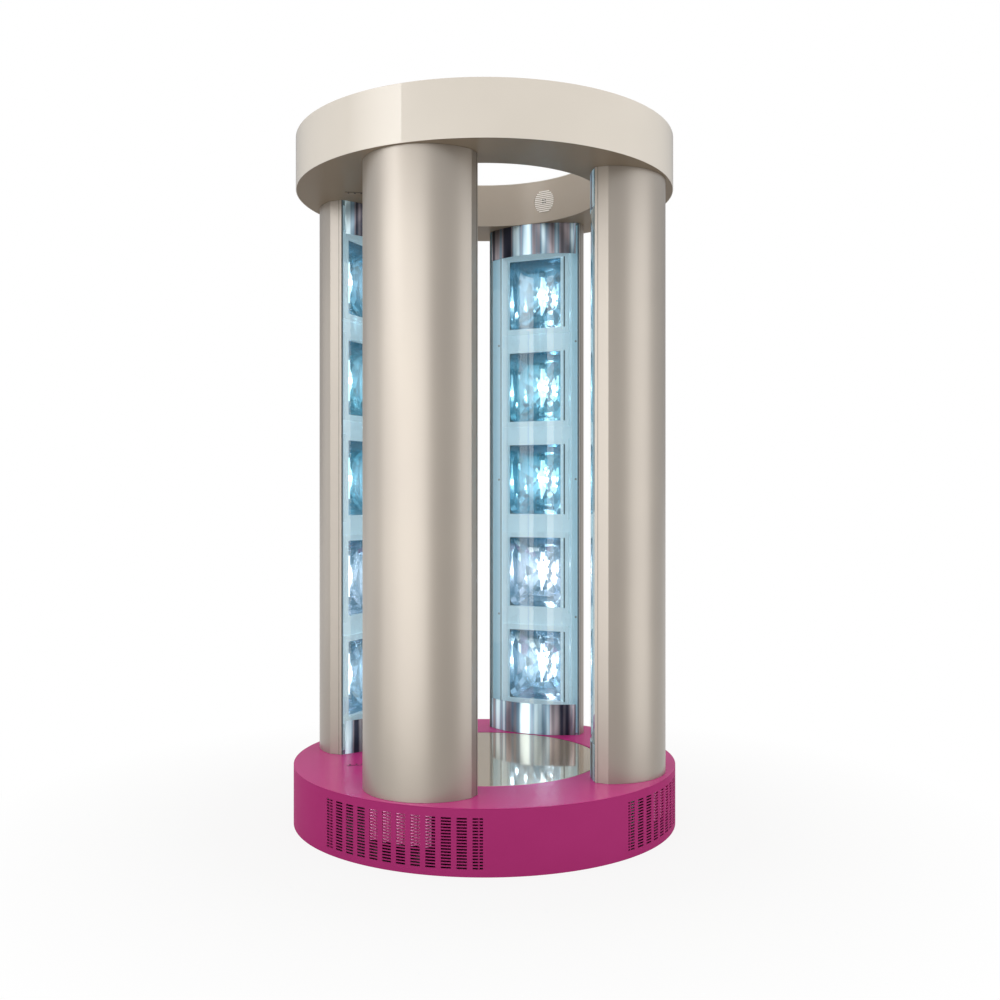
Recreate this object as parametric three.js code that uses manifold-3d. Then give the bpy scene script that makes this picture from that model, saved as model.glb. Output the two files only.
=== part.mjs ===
// A walk-in tanning booth: a round base with a turning platform, four lamp columns and a ring canopy.
// Millimetres, +Z up, origin at the middle of the base's underside, entrance facing -Y.
// A bearing is an angle in degrees from -Y towards +X.
import * as THREE from 'three';
import { mergeVertices } from 'three/addons/utils/BufferGeometryUtils.js';
import Module from 'manifold-3d';

const wasm = await Module();
wasm.setup();

// Fits shared by all pieces
const fitGap = 0.3; // between pieces that seat on or slide into each other
const overcut = 2; // how far a cutter runs past the faces that it cuts
const weldLap = 1; // how far joined shapes run into each other

// Roundness
const drumFacets = 88; // flat sides of the base drum, a multiple of 8 so that vent fields start on corners
const ringFacets = 44; // flat sides of the other large rings
const turnedFacets = 16; // flat sides of small turned pieces
const lampFacets = 6;
const arcSegments = 6; // half the flat sides of a column's curved sheets

// Plan of the booth
const wellRadius = 404; // hole in the deck and in the canopy
const windowLedge = 3; // deck showing between the well and a column's window
const windowProud = 30; // window's middle, inwards of the column's axis
const shellRadius = 202;
const canopyOverhang = 11; // canopy past the columns' shells
const baseStep = 7; // base past the canopy
const columnNames = ['front_left', 'front_right', 'rear_right', 'rear_left'];

// Heights
const baseHeight = 200;
const columnHeight = 1950;
const canopyHeight = 177;
const lidDrop = 18; // lid and inner wall below the fascia's top edge

// Base drum
const baseSheet = 2.5;
const panThickness = 4;
const deckThickness = 2;
const wellSheet = 3;

// Vent fields in the skirt, drawn with coarse slots
const ventColumns = 12;
const ventRows = 3;
const ventSlotWidth = 30;
const ventSlotHeight = 16;
const ventTopMargin = 30;
const ventBottomMargin = 24;

// Air ports through the deck, soffit and lid, above and below each column
const portWidth = 200;
const portDepth = 80;
const portOffset = 125; // port's middle, outwards of the column's axis

// Standing platform and its drive
const platformClearance = 4; // running gap to the well wall
const platformRecess = 1; // platform below the deck
const platformThickness = 4;
const platformRimDepth = 26;
const platformRimWall = 4;
const hubFlangeRadius = 80;
const hubFlangeThickness = 12;
const hubShaftRadius = 20;
const hubShaftLength = 90;
const bearingRadius = 64;
const bearingHeight = 20;
const runningGap = 0.6; // round a turning shaft
const pedestalRadius = 60;
const pedestalFootRadius = 120;
const pedestalFootThickness = 10;
const rollerRadius = 30;
const rollerWidth = 18;
const rollerGap = 0.4; // nip between the roller and the platform's rim
const rollerHeadroom = 3; // roller below the platform's plate
const driveShaftRadius = 6;
const driveShaftDepth = 18;
const motorOverhang = 3; // motor wider than the roller, each side
const motorBossRadius = 16;
const motorBossHeight = 25;

// Fans behind the vent fields
const fanHeadroom = 21; // above the fan, below the deck
const fanDepth = 51;
const fanRimWall = 7; // thinnest part of the frame
const fanSkirtClearance = 14; // from the frame's corners to the skirt
const fanBossRadius = 28;
const fanBossDepth = 12;
const fanStrutWidth = 10;
const fanStrutDepth = 8;
const fanStrutCount = 4;
const fanHubRadius = 29;
const fanHubLength = 28;
const fanBladeCount = 5;
const fanBladeChord = 36;
const fanBladeThickness = 3;
const fanBladePitch = 40; // degrees
const fanTipClearance = 4;
const fanBladeRoot = 3; // blade sunk into the hub

// Electrics in the base
const ballastCount = 5;
const ballastCoreWidth = 46;
const ballastCoreDepth = 90;
const ballastCoreHeight = 80;
const ballastCoreGap = 14;
const ballastTrayThickness = 6;
const ballastTrayMargin = 10;
const controlBoxWidth = 260;
const controlBoxDepth = 120;
const controlBoxHeight = 120;
const controlLidLap = 4;
const controlLidThickness = 6;
const electricsClearance = 30; // from the well wall

// Column shell and window
const shellSheet = 2;
const jambHalfWidth = 187.5; // outer faces of the flat jambs
const jambLength = 45.2;
const windowThickness = 4;
const windowInset = 3; // window's edges behind the jambs' edges
const bandHeight = 116;
const bandThickness = 1.5;
const bandInset = 12; // band's ends inside the window's edges

// Lamps in a column
const lampCount = 5;
const frameInset = 13.2; // frame's front, inwards of the shell's corners
const frameThickness = 3;
const bezelWidth = 21; // pressed edge round each opening
const bezelHeight = 17;
const openingWidth = 230;
const openingHeight = 270;
const openingMargin = 118; // frame above and below the row of openings
const paneThickness = 4;
const paneLap = 8; // pane behind the frame's edge
const paneSealWidth = 6;
const reflectorSheet = 1.5;
const reflectorDepth = 85;
const reflectorLap = 3; // trough wider than the frame's opening, each side
const reflectorFlange = 12;
const reflectorFacets = 6;
const lampRadius = 9;
const lampLength = 150;
const lampDepth = 45; // lamp's axis behind the trough's mouth
const holderSize = 18;
const holderClearance = 1;
const holderReach = 30; // from one holder's middle to the lamp's end
const railWidth = 40;
const railDepth = 14;
const railOverrun = 120; // rail past the middles of the end lamps

// Loudspeaker in the canopy
const speakerBearing = 125;
const grilleRadius = 44;
const grilleThickness = 3;
const louvreCount = 11;
const louvrePitch = 7.4;
const louvreHeight = 4;
const louvreMargin = 6;
const driverMouthRadius = 40;
const driverMouthDepth = 6;
const driverMagnetRadius = 24;
const driverConeDepth = 24;
const driverMagnetDepth = 16;

// Cable gland on the lid
const glandBearing = 180;
const glandRadius = 14;
const glandHeight = 14;
const glandNeckRadius = 9;
const glandBoreRadius = 5;
const glandSetback = 90; // inwards of the fascia

// Places worked out from the sizes above
const quarterTurn = 360 / columnNames.length;
const columnBearings = Object.fromEntries(columnNames.map((name, i) => [name, (i - 0.5) * quarterTurn]));
const columnAxisRadius = wellRadius + windowLedge + windowProud;
const canopyRadius = columnAxisRadius + shellRadius + canopyOverhang;
const baseRadius = canopyRadius + baseStep;
const drumFlatness = Math.cos(Math.PI / drumFacets); // flat sides lie this share of the radius from the axis
const ringFlatness = Math.cos(Math.PI / ringFacets);
const panTop = panThickness;
const floorSeat = panTop + fitGap;
const deckUnderside = baseHeight - deckThickness;
const canopyBottom = baseHeight + columnHeight;
const canopyTop = canopyBottom + canopyHeight;
const lidTop = canopyTop - lidDrop;
const skirtInnerRadius = baseRadius - baseSheet;
const wellOuterRadius = wellRadius + wellSheet;

// Materials
function finish(color, roughness, metalness) {
  return new THREE.MeshStandardMaterial({ color, roughness, metalness });
}
const magentaPaint = finish(0xab3e77, 0.25, 0);
const champagnePaint = finish(0xc9c0b2, 0.35, 0.3);
const creamPaint = finish(0xeae2d6, 0.35, 0.1);
const polishedSteel = finish(0xa39d93, 0.12, 1);
const mirrorAluminium = finish(0xd5dde2, 0.08, 1);
const framePaint = finish(0xbedee8, 0.4, 0);
const clearAcrylic = finish(0xdff1f6, 0.05, 0);
const filterGlass = finish(0x5fa8c4, 0.05, 0);
const lampQuartz = finish(0xf2fbff, 0.1, 0);
const zincSteel = finish(0x9a9d9f, 0.45, 0.9);
const blackPlastic = finish(0x202124, 0.5, 0);
const blackRubber = finish(0x1a1a1b, 0.85, 0);

// Booleans
function toSolid(geometry) {
  const bare = geometry.clone();
  bare.deleteAttribute('normal');
  bare.deleteAttribute('uv');
  const merged = mergeVertices(bare);
  const corners = merged.index.array;
  const kept = [];
  for (let i = 0; i < corners.length; i += 3) {
    const [a, b, c] = [corners[i], corners[i + 1], corners[i + 2]];
    if (a !== b && b !== c && c !== a) kept.push(a, b, c);
  }
  const vertProperties = merged.attributes.position.array;
  return new wasm.Manifold(new wasm.Mesh({ numProp: 3, vertProperties, triVerts: new Uint32Array(kept) }));
}

function toGeometry(solid) {
  const mesh = solid.getMesh();
  const geometry = new THREE.BufferGeometry();
  geometry.setAttribute('position', new THREE.BufferAttribute(mesh.vertProperties, 3));
  geometry.setIndex(new THREE.BufferAttribute(mesh.triVerts, 1));
  geometry.computeVertexNormals();
  return geometry;
}

function unite(geometries) {
  return geometries.map(toSolid).reduce((whole, piece) => whole.add(piece));
}

function join(geometries) {
  return toGeometry(unite(geometries));
}

function cut(geometry, cutters) {
  return toGeometry(toSolid(geometry).subtract(unite(cutters)));
}

// Basic shapes
function turned(outline, facets) {
  const profile = outline.map(([radius, height]) => new THREE.Vector2(radius, height));
  return new THREE.LatheGeometry(profile, facets).rotateX(Math.PI / 2);
}

function turnedAlongX(outline, facets) {
  const profile = outline.map(([radius, along]) => new THREE.Vector2(radius, along));
  return new THREE.LatheGeometry(profile, facets).rotateZ(-Math.PI / 2);
}

function ring(innerRadius, outerRadius, bottom, top, facets = ringFacets) {
  const section = [
    [innerRadius, bottom],
    [outerRadius, bottom],
    [outerRadius, top],
    [innerRadius, top],
    [innerRadius, bottom],
  ];
  return turned(section, facets);
}

function block(x0, x1, y0, y1, z0, z1) {
  const box = new THREE.BoxGeometry(x1 - x0, y1 - y0, z1 - z0);
  return box.translate((x0 + x1) / 2, (y0 + y1) / 2, (z0 + z1) / 2);
}

function rodAlongX(radius, x0, x1) {
  const rod = new THREE.CylinderGeometry(radius, radius, x1 - x0, turnedFacets);
  return rod.rotateZ(Math.PI / 2).translate((x0 + x1) / 2, 0, 0);
}

function raised(shape, bottom, top) {
  const settings = { depth: top - bottom, bevelEnabled: false, curveSegments: arcSegments };
  return new THREE.ExtrudeGeometry(shape, settings).translate(0, 0, bottom);
}

// Turns a shape that lies along +X to a bearing
function atBearing(geometry, bearing) {
  return geometry.rotateZ(THREE.MathUtils.degToRad(bearing - 90));
}

function bearingGroup(bearing, radius, height) {
  const group = new THREE.Group();
  const turn = THREE.MathUtils.degToRad(bearing - 90);
  group.position.set(radius * Math.cos(turn), radius * Math.sin(turn), height);
  group.rotation.z = turn;
  return group;
}

const booth = new THREE.Group();

function addPiece(parent, name, geometry, material) {
  const mesh = new THREE.Mesh(geometry, material);
  mesh.name = name;
  parent.add(mesh);
}

// One air port for each column, through a plate between two heights
function airPorts(bottom, top) {
  const middle = columnAxisRadius + portOffset;
  const [near, far] = [middle - portDepth / 2, middle + portDepth / 2];
  const port = block(near, far, -portWidth / 2, portWidth / 2, bottom - overcut, top + overcut);
  return Object.values(columnBearings).map((bearing) => atBearing(port.clone(), bearing));
}

// Base drum
function ventSlots() {
  const slots = [];
  const facetTurn = 360 / drumFacets;
  const rowPitch = (baseHeight - ventTopMargin - ventBottomMargin - ventSlotHeight) / (ventRows - 1);
  for (const bearing of Object.values(columnBearings)) {
    for (let column = 0; column < ventColumns; column++) {
      const turn = bearing + (column + 0.5 - ventColumns / 2) * facetTurn;
      for (let row = 0; row < ventRows; row++) {
        const low = ventBottomMargin + row * rowPitch;
        const [inner, outer] = [skirtInnerRadius * drumFlatness - overcut, baseRadius + overcut];
        const half = ventSlotWidth / 2;
        slots.push(atBearing(block(inner, outer, -half, half, low, low + ventSlotHeight), turn));
      }
    }
  }
  return slots;
}

function addBase() {
  const panRadius = skirtInnerRadius - fitGap;
  const pan = turned([[0, 0], [panRadius, 0], [panRadius, panTop], [0, panTop]], drumFacets);
  addPiece(booth, 'base_pan', pan, zincSteel);
  const wall = ring(skirtInnerRadius, baseRadius, 0, deckUnderside - fitGap, drumFacets);
  addPiece(booth, 'base_skirt', cut(wall, ventSlots()), magentaPaint);
  const plate = ring(wellRadius, baseRadius, deckUnderside, baseHeight, drumFacets);
  addPiece(booth, 'base_deck', cut(plate, airPorts(deckUnderside, baseHeight)), magentaPaint);
  const well = ring(wellRadius, wellOuterRadius, floorSeat, deckUnderside - fitGap);
  addPiece(booth, 'well_wall', well, magentaPaint);
}

// Standing platform, its bearing and its friction drive
function addPlatform() {
  const top = baseHeight - platformRecess;
  const underside = top - platformThickness;
  const outer = wellRadius - platformClearance;
  const rimInner = outer - platformRimWall;
  const rimBottom = underside - platformRimDepth;
  const disc = [
    [0, underside],
    [rimInner, underside],
    [rimInner, rimBottom],
    [outer, rimBottom],
    [outer, top],
    [0, top],
  ];
  addPiece(booth, 'platform_disc', turned(disc, ringFacets), polishedSteel);

  const flangeTop = underside - fitGap;
  const flangeBottom = flangeTop - hubFlangeThickness;
  const shaftEnd = flangeBottom - hubShaftLength;
  const hub = [
    [0, shaftEnd],
    [hubShaftRadius, shaftEnd],
    [hubShaftRadius, flangeBottom],
    [hubFlangeRadius, flangeBottom],
    [hubFlangeRadius, flangeTop],
    [0, flangeTop],
  ];
  addPiece(booth, 'platform_hub', turned(hub, turnedFacets), zincSteel);

  const boreRadius = hubShaftRadius + runningGap;
  const bearingTop = flangeBottom - fitGap;
  const bearingBottom = bearingTop - bearingHeight;
  const bearing = [
    [boreRadius, bearingBottom],
    [bearingRadius, bearingBottom],
    [bearingRadius, bearingTop],
    [boreRadius, bearingTop],
    [boreRadius, bearingBottom],
  ];
  addPiece(booth, 'platform_bearing', turned(bearing, turnedFacets), zincSteel);

  const pedestalTop = bearingBottom - fitGap;
  const footTop = floorSeat + pedestalFootThickness;
  const pedestal = [
    [boreRadius, floorSeat],
    [pedestalFootRadius, floorSeat],
    [pedestalFootRadius, footTop],
    [pedestalRadius, footTop],
    [pedestalRadius, pedestalTop],
    [boreRadius, pedestalTop],
    [boreRadius, floorSeat],
  ];
  addPiece(booth, 'bearing_pedestal', turned(pedestal, turnedFacets), zincSteel);

  const rollerTop = underside - rollerHeadroom;
  const rollerBottom = rollerTop - rollerWidth;
  const bossTop = rollerBottom - fitGap;
  const shaftBottom = bossTop - driveShaftDepth;
  const drive = bearingGroup(0, rimInner * ringFlatness - rollerGap - rollerRadius, 0);
  const roller = [
    [0, shaftBottom + fitGap],
    [driveShaftRadius, shaftBottom + fitGap],
    [driveShaftRadius, rollerBottom],
    [rollerRadius, rollerBottom],
    [rollerRadius, rollerTop],
    [0, rollerTop],
  ];
  addPiece(drive, 'drive_roller', turned(roller, turnedFacets), blackRubber);
  const motorRadius = rollerRadius + motorOverhang;
  const motor = [
    [0, floorSeat],
    [motorRadius, floorSeat],
    [motorRadius, bossTop - motorBossHeight],
    [motorBossRadius, bossTop - motorBossHeight],
    [motorBossRadius, bossTop],
    [driveShaftRadius + runningGap, bossTop],
    [driveShaftRadius + runningGap, shaftBottom],
    [0, shaftBottom],
  ];
  addPiece(drive, 'drive_motor', turned(motor, turnedFacets), zincSteel);
  booth.add(drive);
}

// Fan behind a vent field, its axis along +X from the booth's axis outwards
function fanFrame(size) {
  const half = size / 2;
  const [back, front] = [-fanDepth / 2, fanDepth / 2];
  const bore = rodAlongX(half - fanRimWall, back - overcut, front + overcut);
  const rim = cut(block(back, front, -half, half, -half, half), [bore]);
  const boss = rodAlongX(fanBossRadius, back, back + fanBossDepth);
  const struts = [];
  for (let i = 0; i < fanStrutCount; i++) {
    const strut = block(back, back + fanStrutDepth, -fanStrutWidth / 2, fanStrutWidth / 2, 0, half - weldLap);
    struts.push(strut.rotateX((2 * Math.PI * (i + 0.5)) / fanStrutCount));
  }
  return join([rim, boss, ...struts]);
}

function fanRotor(size) {
  const hubBack = -fanDepth / 2 + fanBossDepth + fitGap;
  const hub = rodAlongX(fanHubRadius, hubBack, hubBack + fanHubLength);
  const tip = size / 2 - fanRimWall - fanTipClearance;
  const blades = [];
  for (let i = 0; i < fanBladeCount; i++) {
    const root = fanHubRadius - fanBladeRoot;
    const blade = new THREE.BoxGeometry(fanBladeChord, fanBladeThickness, tip - root);
    blade.rotateZ(THREE.MathUtils.degToRad(fanBladePitch));
    blade.translate(hubBack + fanHubLength / 2, 0, (root + tip) / 2);
    blades.push(blade.rotateX((2 * Math.PI * i) / fanBladeCount));
  }
  return join([hub, ...blades]);
}

function addFans() {
  const size = deckUnderside - floorSeat - fanHeadroom;
  const corner = skirtInnerRadius * drumFlatness - fanSkirtClearance;
  const frontFace = Math.sqrt(corner ** 2 - (size / 2) ** 2);
  for (const [name, bearing] of Object.entries(columnBearings)) {
    const fan = bearingGroup(bearing, frontFace - fanDepth / 2, floorSeat + size / 2);
    addPiece(fan, `${name}_fan_frame`, fanFrame(size), blackPlastic);
    addPiece(fan, `${name}_fan_rotor`, fanRotor(size), blackPlastic);
    booth.add(fan);
  }
}

// Ballasts and control box, standing on the pan outside the well
function addElectrics() {
  const inner = wellOuterRadius + electricsClearance;
  const trayTop = floorSeat + ballastTrayThickness;
  const corePitch = ballastCoreWidth + ballastCoreGap;
  const trayHalf = ((ballastCount - 1) * corePitch + ballastCoreWidth) / 2 + ballastTrayMargin;
  const trayDepth = ballastCoreDepth + 2 * ballastTrayMargin;
  for (const [side, bearing] of [['left', -90], ['right', 90]]) {
    const blocks = [block(inner, inner + trayDepth, -trayHalf, trayHalf, floorSeat, trayTop)];
    for (let i = 0; i < ballastCount; i++) {
      const middle = (i - (ballastCount - 1) / 2) * corePitch;
      const [near, far] = [inner + ballastTrayMargin, inner + ballastTrayMargin + ballastCoreDepth];
      const half = ballastCoreWidth / 2;
      const coreTop = trayTop + ballastCoreHeight;
      blocks.push(block(near, far, middle - half, middle + half, floorSeat, coreTop));
    }
    addPiece(booth, `ballast_bank_${side}`, atBearing(join(blocks), bearing), zincSteel);
  }
  const half = controlBoxWidth / 2;
  const boxTop = floorSeat + controlBoxHeight;
  const [near, far] = [inner + controlLidLap, inner + controlLidLap + controlBoxDepth];
  const body = block(near, far, -half, half, floorSeat, boxTop);
  const lidHalf = half + controlLidLap;
  const lidBottom = boxTop - controlLidThickness;
  const lid = block(near - controlLidLap, far + controlLidLap, -lidHalf, lidHalf, lidBottom, boxTop);
  addPiece(booth, 'control_box', atBearing(join([body, lid]), 180), blackPlastic);
}

// Column sections: x runs outwards from the column's axis, y sideways
const shellCorner = Math.sqrt(shellRadius ** 2 - jambHalfWidth ** 2);
const jambEdge = shellCorner - jambLength;
const jambInner = jambHalfWidth - shellSheet;
const windowHalf = jambInner - fitGap;
const windowEdge = jambEdge + windowInset;
const windowSagitta = windowEdge + windowProud;
const windowRadius = (windowHalf ** 2 + windowSagitta ** 2) / (2 * windowSagitta);
const windowCentre = windowRadius - windowProud;
const windowHalfTurn = Math.asin(windowHalf / windowRadius);
const columnBottom = baseHeight + fitGap;
const columnTop = canopyBottom - fitGap;

function shellSection() {
  const innerRadius = shellRadius - shellSheet;
  const outerTurn = Math.asin(jambHalfWidth / shellRadius);
  const innerTurn = Math.asin(jambInner / innerRadius);
  const section = new THREE.Shape();
  section.moveTo(jambEdge, -jambHalfWidth);
  section.absarc(0, 0, shellRadius, -outerTurn, outerTurn, false);
  section.lineTo(jambEdge, jambHalfWidth);
  section.lineTo(jambEdge, jambInner);
  section.absarc(0, 0, innerRadius, innerTurn, -innerTurn, true);
  section.lineTo(jambEdge, -jambInner);
  section.closePath();
  return section;
}

// A sheet bent round the window's centre, between two radii
function bentSection(outerRadius, innerRadius, halfTurn) {
  const [start, end] = [Math.PI - halfTurn, Math.PI + halfTurn];
  const section = new THREE.Shape();
  section.absarc(windowCentre, 0, outerRadius, start, end, false);
  section.absarc(windowCentre, 0, innerRadius, end, start, true);
  section.closePath();
  return section;
}

// Heights of the lamps' middles
const lampPitch = (columnHeight - 2 * openingMargin - openingHeight) / (lampCount - 1);
const lampHeights = Array.from({ length: lampCount }, (unused, i) =>
  baseHeight + openingMargin + openingHeight / 2 + i * lampPitch);
const lowestLamp = lampHeights[0];
const highestLamp = lampHeights[lampCount - 1];

// Depths of the layers behind the window, from the frame outwards
const frameFront = shellCorner - frameInset;
const frameBack = frameFront + frameThickness;
const paneFront = frameBack + fitGap;
const paneBack = paneFront + paneThickness;
const troughMouth = paneBack + fitGap;
const troughBack = troughMouth + reflectorDepth;
const railFront = troughBack + reflectorSheet + fitGap;
const lampAxis = troughMouth + lampDepth;
const holderOffset = lampLength / 2 + holderReach - holderSize / 2;

// A block round one lamp's opening, between two depths
function openingBlock(height, margin, front, back) {
  const half = openingWidth / 2 + margin;
  const rise = openingHeight / 2 + margin;
  return block(front, back, -half, half, height - rise, height + rise);
}

// The sheet is pressed forward round each opening, which leaves a groove in its back
function lampFrame() {
  const plate = block(frameFront, frameBack, -windowHalf, windowHalf, columnBottom, columnTop);
  const bezelFront = frameFront - bezelHeight;
  const back = frameBack + overcut;
  const bezels = lampHeights.map((height) => openingBlock(height, bezelWidth, bezelFront, frameBack));
  const openings = lampHeights.map((height) => openingBlock(height, 0, bezelFront - overcut, back));
  const grooves = lampHeights.map((height) => {
    const grooveFront = bezelFront + frameThickness;
    const outside = openingBlock(height, bezelWidth - frameThickness, grooveFront, back);
    return cut(outside, [openingBlock(height, frameThickness, grooveFront - overcut, back + overcut)]);
  });
  return cut(join([plate, ...bezels]), [...openings, ...grooves]);
}

function filterPanes() {
  const half = openingWidth / 2 + paneLap;
  const rise = openingHeight / 2 + paneLap;
  const panes = lampHeights.map((height) =>
    block(paneFront, paneBack, -half, half, height - rise, height + rise));
  const seals = [-half, half - paneSealWidth].map((side) =>
    block(paneFront, paneBack, side, side + paneSealWidth, lowestLamp, highestLamp));
  return join([...panes, ...seals]);
}

// A trough that is half an ellipse in plan, with flat facets
function trough(halfWidth, depth, rise, height) {
  const section = new THREE.Shape();
  for (let i = 0; i <= reflectorFacets; i++) {
    const turn = (Math.PI * i) / reflectorFacets;
    const [x, y] = [troughMouth + depth * Math.sin(turn), halfWidth * Math.cos(turn)];
    if (i === 0) section.moveTo(x, y);
    else section.lineTo(x, y);
  }
  section.closePath();
  return raised(section, height - rise, height + rise);
}

function reflectorBank() {
  const half = openingWidth / 2 + reflectorLap;
  const rise = openingHeight / 2 + reflectorLap;
  const flangeHalf = half + reflectorFlange;
  const flangeRise = rise + reflectorFlange;
  const flange = block(
    troughMouth, troughMouth + reflectorSheet,
    -flangeHalf, flangeHalf,
    lowestLamp - flangeRise, highestLamp + flangeRise,
  );
  const backs = lampHeights.map((height) =>
    trough(half + reflectorSheet, reflectorDepth + reflectorSheet, rise + reflectorSheet, height));
  const hollows = lampHeights.map((height) => trough(half, reflectorDepth, rise, height));
  const mouths = lampHeights.map((height) => block(
    troughMouth - overcut, troughMouth + fitGap, -half, half, height - rise, height + rise));
  const holeHalf = holderSize / 2 + holderClearance;
  const holes = lampHeights.flatMap((height) => [-holderOffset, holderOffset].map((offset) => block(
    lampAxis, troughBack + reflectorSheet + overcut,
    -holeHalf, holeHalf,
    height + offset - holeHalf, height + offset + holeHalf,
  )));
  return cut(join([flange, ...backs]), [...hollows, ...mouths, ...holes]);
}

function lampBank() {
  const railHalf = railWidth / 2;
  const rail = block(
    railFront, railFront + railDepth,
    -railHalf, railHalf,
    lowestLamp - railOverrun, highestLamp + railOverrun,
  );
  const half = holderSize / 2;
  const holders = lampHeights.flatMap((height) => [-holderOffset, holderOffset].map((offset) => block(
    lampAxis - half, railFront + weldLap,
    -half, half,
    height + offset - half, height + offset + half,
  )));
  const lamps = lampHeights.map((height) => {
    const lamp = new THREE.CylinderGeometry(lampRadius, lampRadius, 2 * holderOffset, lampFacets);
    return lamp.rotateX(Math.PI / 2).translate(lampAxis, 0, height);
  });
  return join([rail, ...holders, ...lamps]);
}

function addColumn(name, bearing) {
  const column = bearingGroup(bearing, columnAxisRadius, 0);
  const bandHalfTurn = Math.asin((windowHalf - bandInset) / windowRadius);
  const bandFlatness = Math.cos(bandHalfTurn / (2 * arcSegments));
  const bandInner = (windowRadius + fitGap) / bandFlatness;
  const band = bentSection(bandInner + bandThickness, bandInner, bandHalfTurn);
  const windowSection = bentSection(windowRadius, windowRadius - windowThickness, windowHalfTurn);
  const pieces = {
    shell: [raised(shellSection(), columnBottom, columnTop), champagnePaint],
    window: [raised(windowSection, columnBottom, columnTop), clearAcrylic],
    lower_band: [raised(band, columnBottom, columnBottom + bandHeight), polishedSteel],
    upper_band: [raised(band, columnTop - bandHeight, columnTop), polishedSteel],
    lamp_frame: [lampFrame(), framePaint],
    filter_panes: [filterPanes(), filterGlass],
    reflector_bank: [reflectorBank(), mirrorAluminium],
    lamp_bank: [lampBank(), lampQuartz],
  };
  for (const [piece, [geometry, material]] of Object.entries(pieces)) {
    addPiece(column, `${name}_${piece}`, geometry, material);
  }
  booth.add(column);
}

// Canopy ring
function addCanopy() {
  const fasciaInner = canopyRadius - baseSheet;
  const wallOuter = wellRadius + baseSheet;
  const plateTop = canopyBottom + baseSheet;
  const wallTop = lidTop - baseSheet - fitGap;
  addPiece(booth, 'canopy_fascia', ring(fasciaInner, canopyRadius, canopyBottom, canopyTop), creamPaint);
  const soffit = ring(wallOuter + fitGap, fasciaInner - fitGap, canopyBottom, plateTop);
  addPiece(booth, 'canopy_soffit', cut(soffit, airPorts(canopyBottom, plateTop)), champagnePaint);

  const speakerHeight = (canopyBottom + wallTop) / 2;
  const hole = rodAlongX(grilleRadius + fitGap, wellRadius / 2, wallOuter + overcut);
  hole.translate(0, 0, speakerHeight);
  const wall = ring(wellRadius, wallOuter, canopyBottom, wallTop);
  const innerWall = cut(wall, [atBearing(hole, speakerBearing)]);
  addPiece(booth, 'canopy_inner_wall', innerWall, champagnePaint);

  const lid = ring(wellRadius, fasciaInner - fitGap, lidTop - baseSheet, lidTop);
  addPiece(booth, 'canopy_lid', cut(lid, airPorts(lidTop - baseSheet, lidTop)), creamPaint);
  addSpeaker(speakerHeight, wallOuter);
  addGland(fasciaInner);
}

function addSpeaker(height, wallOuter) {
  const speaker = bearingGroup(speakerBearing, 0, height);
  const grilleBack = Math.sqrt(wallOuter ** 2 - grilleRadius ** 2) * ringFlatness;
  const grilleFront = grilleBack - grilleThickness;
  const louvres = [];
  for (let i = 0; i < louvreCount; i++) {
    const middle = (i - (louvreCount - 1) / 2) * louvrePitch;
    const half = Math.sqrt(grilleRadius ** 2 - middle ** 2) - louvreMargin;
    const [low, high] = [middle - louvreHeight / 2, middle + louvreHeight / 2];
    louvres.push(block(grilleFront - overcut, grilleBack + overcut, -half, half, low, high));
  }
  const plate = rodAlongX(grilleRadius, grilleFront, grilleBack);
  addPiece(speaker, 'speaker_grille', cut(plate, louvres), creamPaint);
  const mouth = grilleBack + fitGap;
  const coneStart = mouth + driverMouthDepth;
  const coneEnd = coneStart + driverConeDepth;
  const magnetEnd = coneEnd + driverMagnetDepth;
  const driver = [
    [0, mouth],
    [driverMouthRadius, mouth],
    [driverMouthRadius, coneStart],
    [driverMagnetRadius, coneEnd],
    [driverMagnetRadius, magnetEnd],
    [0, magnetEnd],
  ];
  addPiece(speaker, 'speaker_driver', turnedAlongX(driver, turnedFacets), blackPlastic);
  booth.add(speaker);
}

function addGland(fasciaInner) {
  const gland = bearingGroup(glandBearing, fasciaInner - glandSetback, lidTop + fitGap);
  const shoulder = glandHeight / 2;
  const body = [
    [glandBoreRadius, 0],
    [glandRadius, 0],
    [glandRadius, shoulder],
    [glandNeckRadius, shoulder],
    [glandNeckRadius, glandHeight],
    [glandBoreRadius, glandHeight],
    [glandBoreRadius, 0],
  ];
  addPiece(gland, 'supply_gland', turned(body, turnedFacets), blackPlastic);
  booth.add(gland);
}

addBase();
addPlatform();
addFans();
addElectrics();
for (const [name, bearing] of Object.entries(columnBearings)) addColumn(name, bearing);
addCanopy();

export default booth;
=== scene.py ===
"""Looks of a walk-in tanning booth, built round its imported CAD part.

Lengths are in metres and the frame is the part's own: +Z up, the entrance facing -Y, the origin in the middle
of the base's underside. A bearing is an angle in degrees from -Y towards +X. Inside a column, X runs outwards
from the column's axis and Y sideways.
"""

import logging
import math
import random
from abc import ABC, abstractmethod
from collections.abc import Callable, Sequence
from dataclasses import dataclass
from enum import Enum
from functools import cache

import bmesh
import bpy
from mathutils import Matrix, Vector


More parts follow.
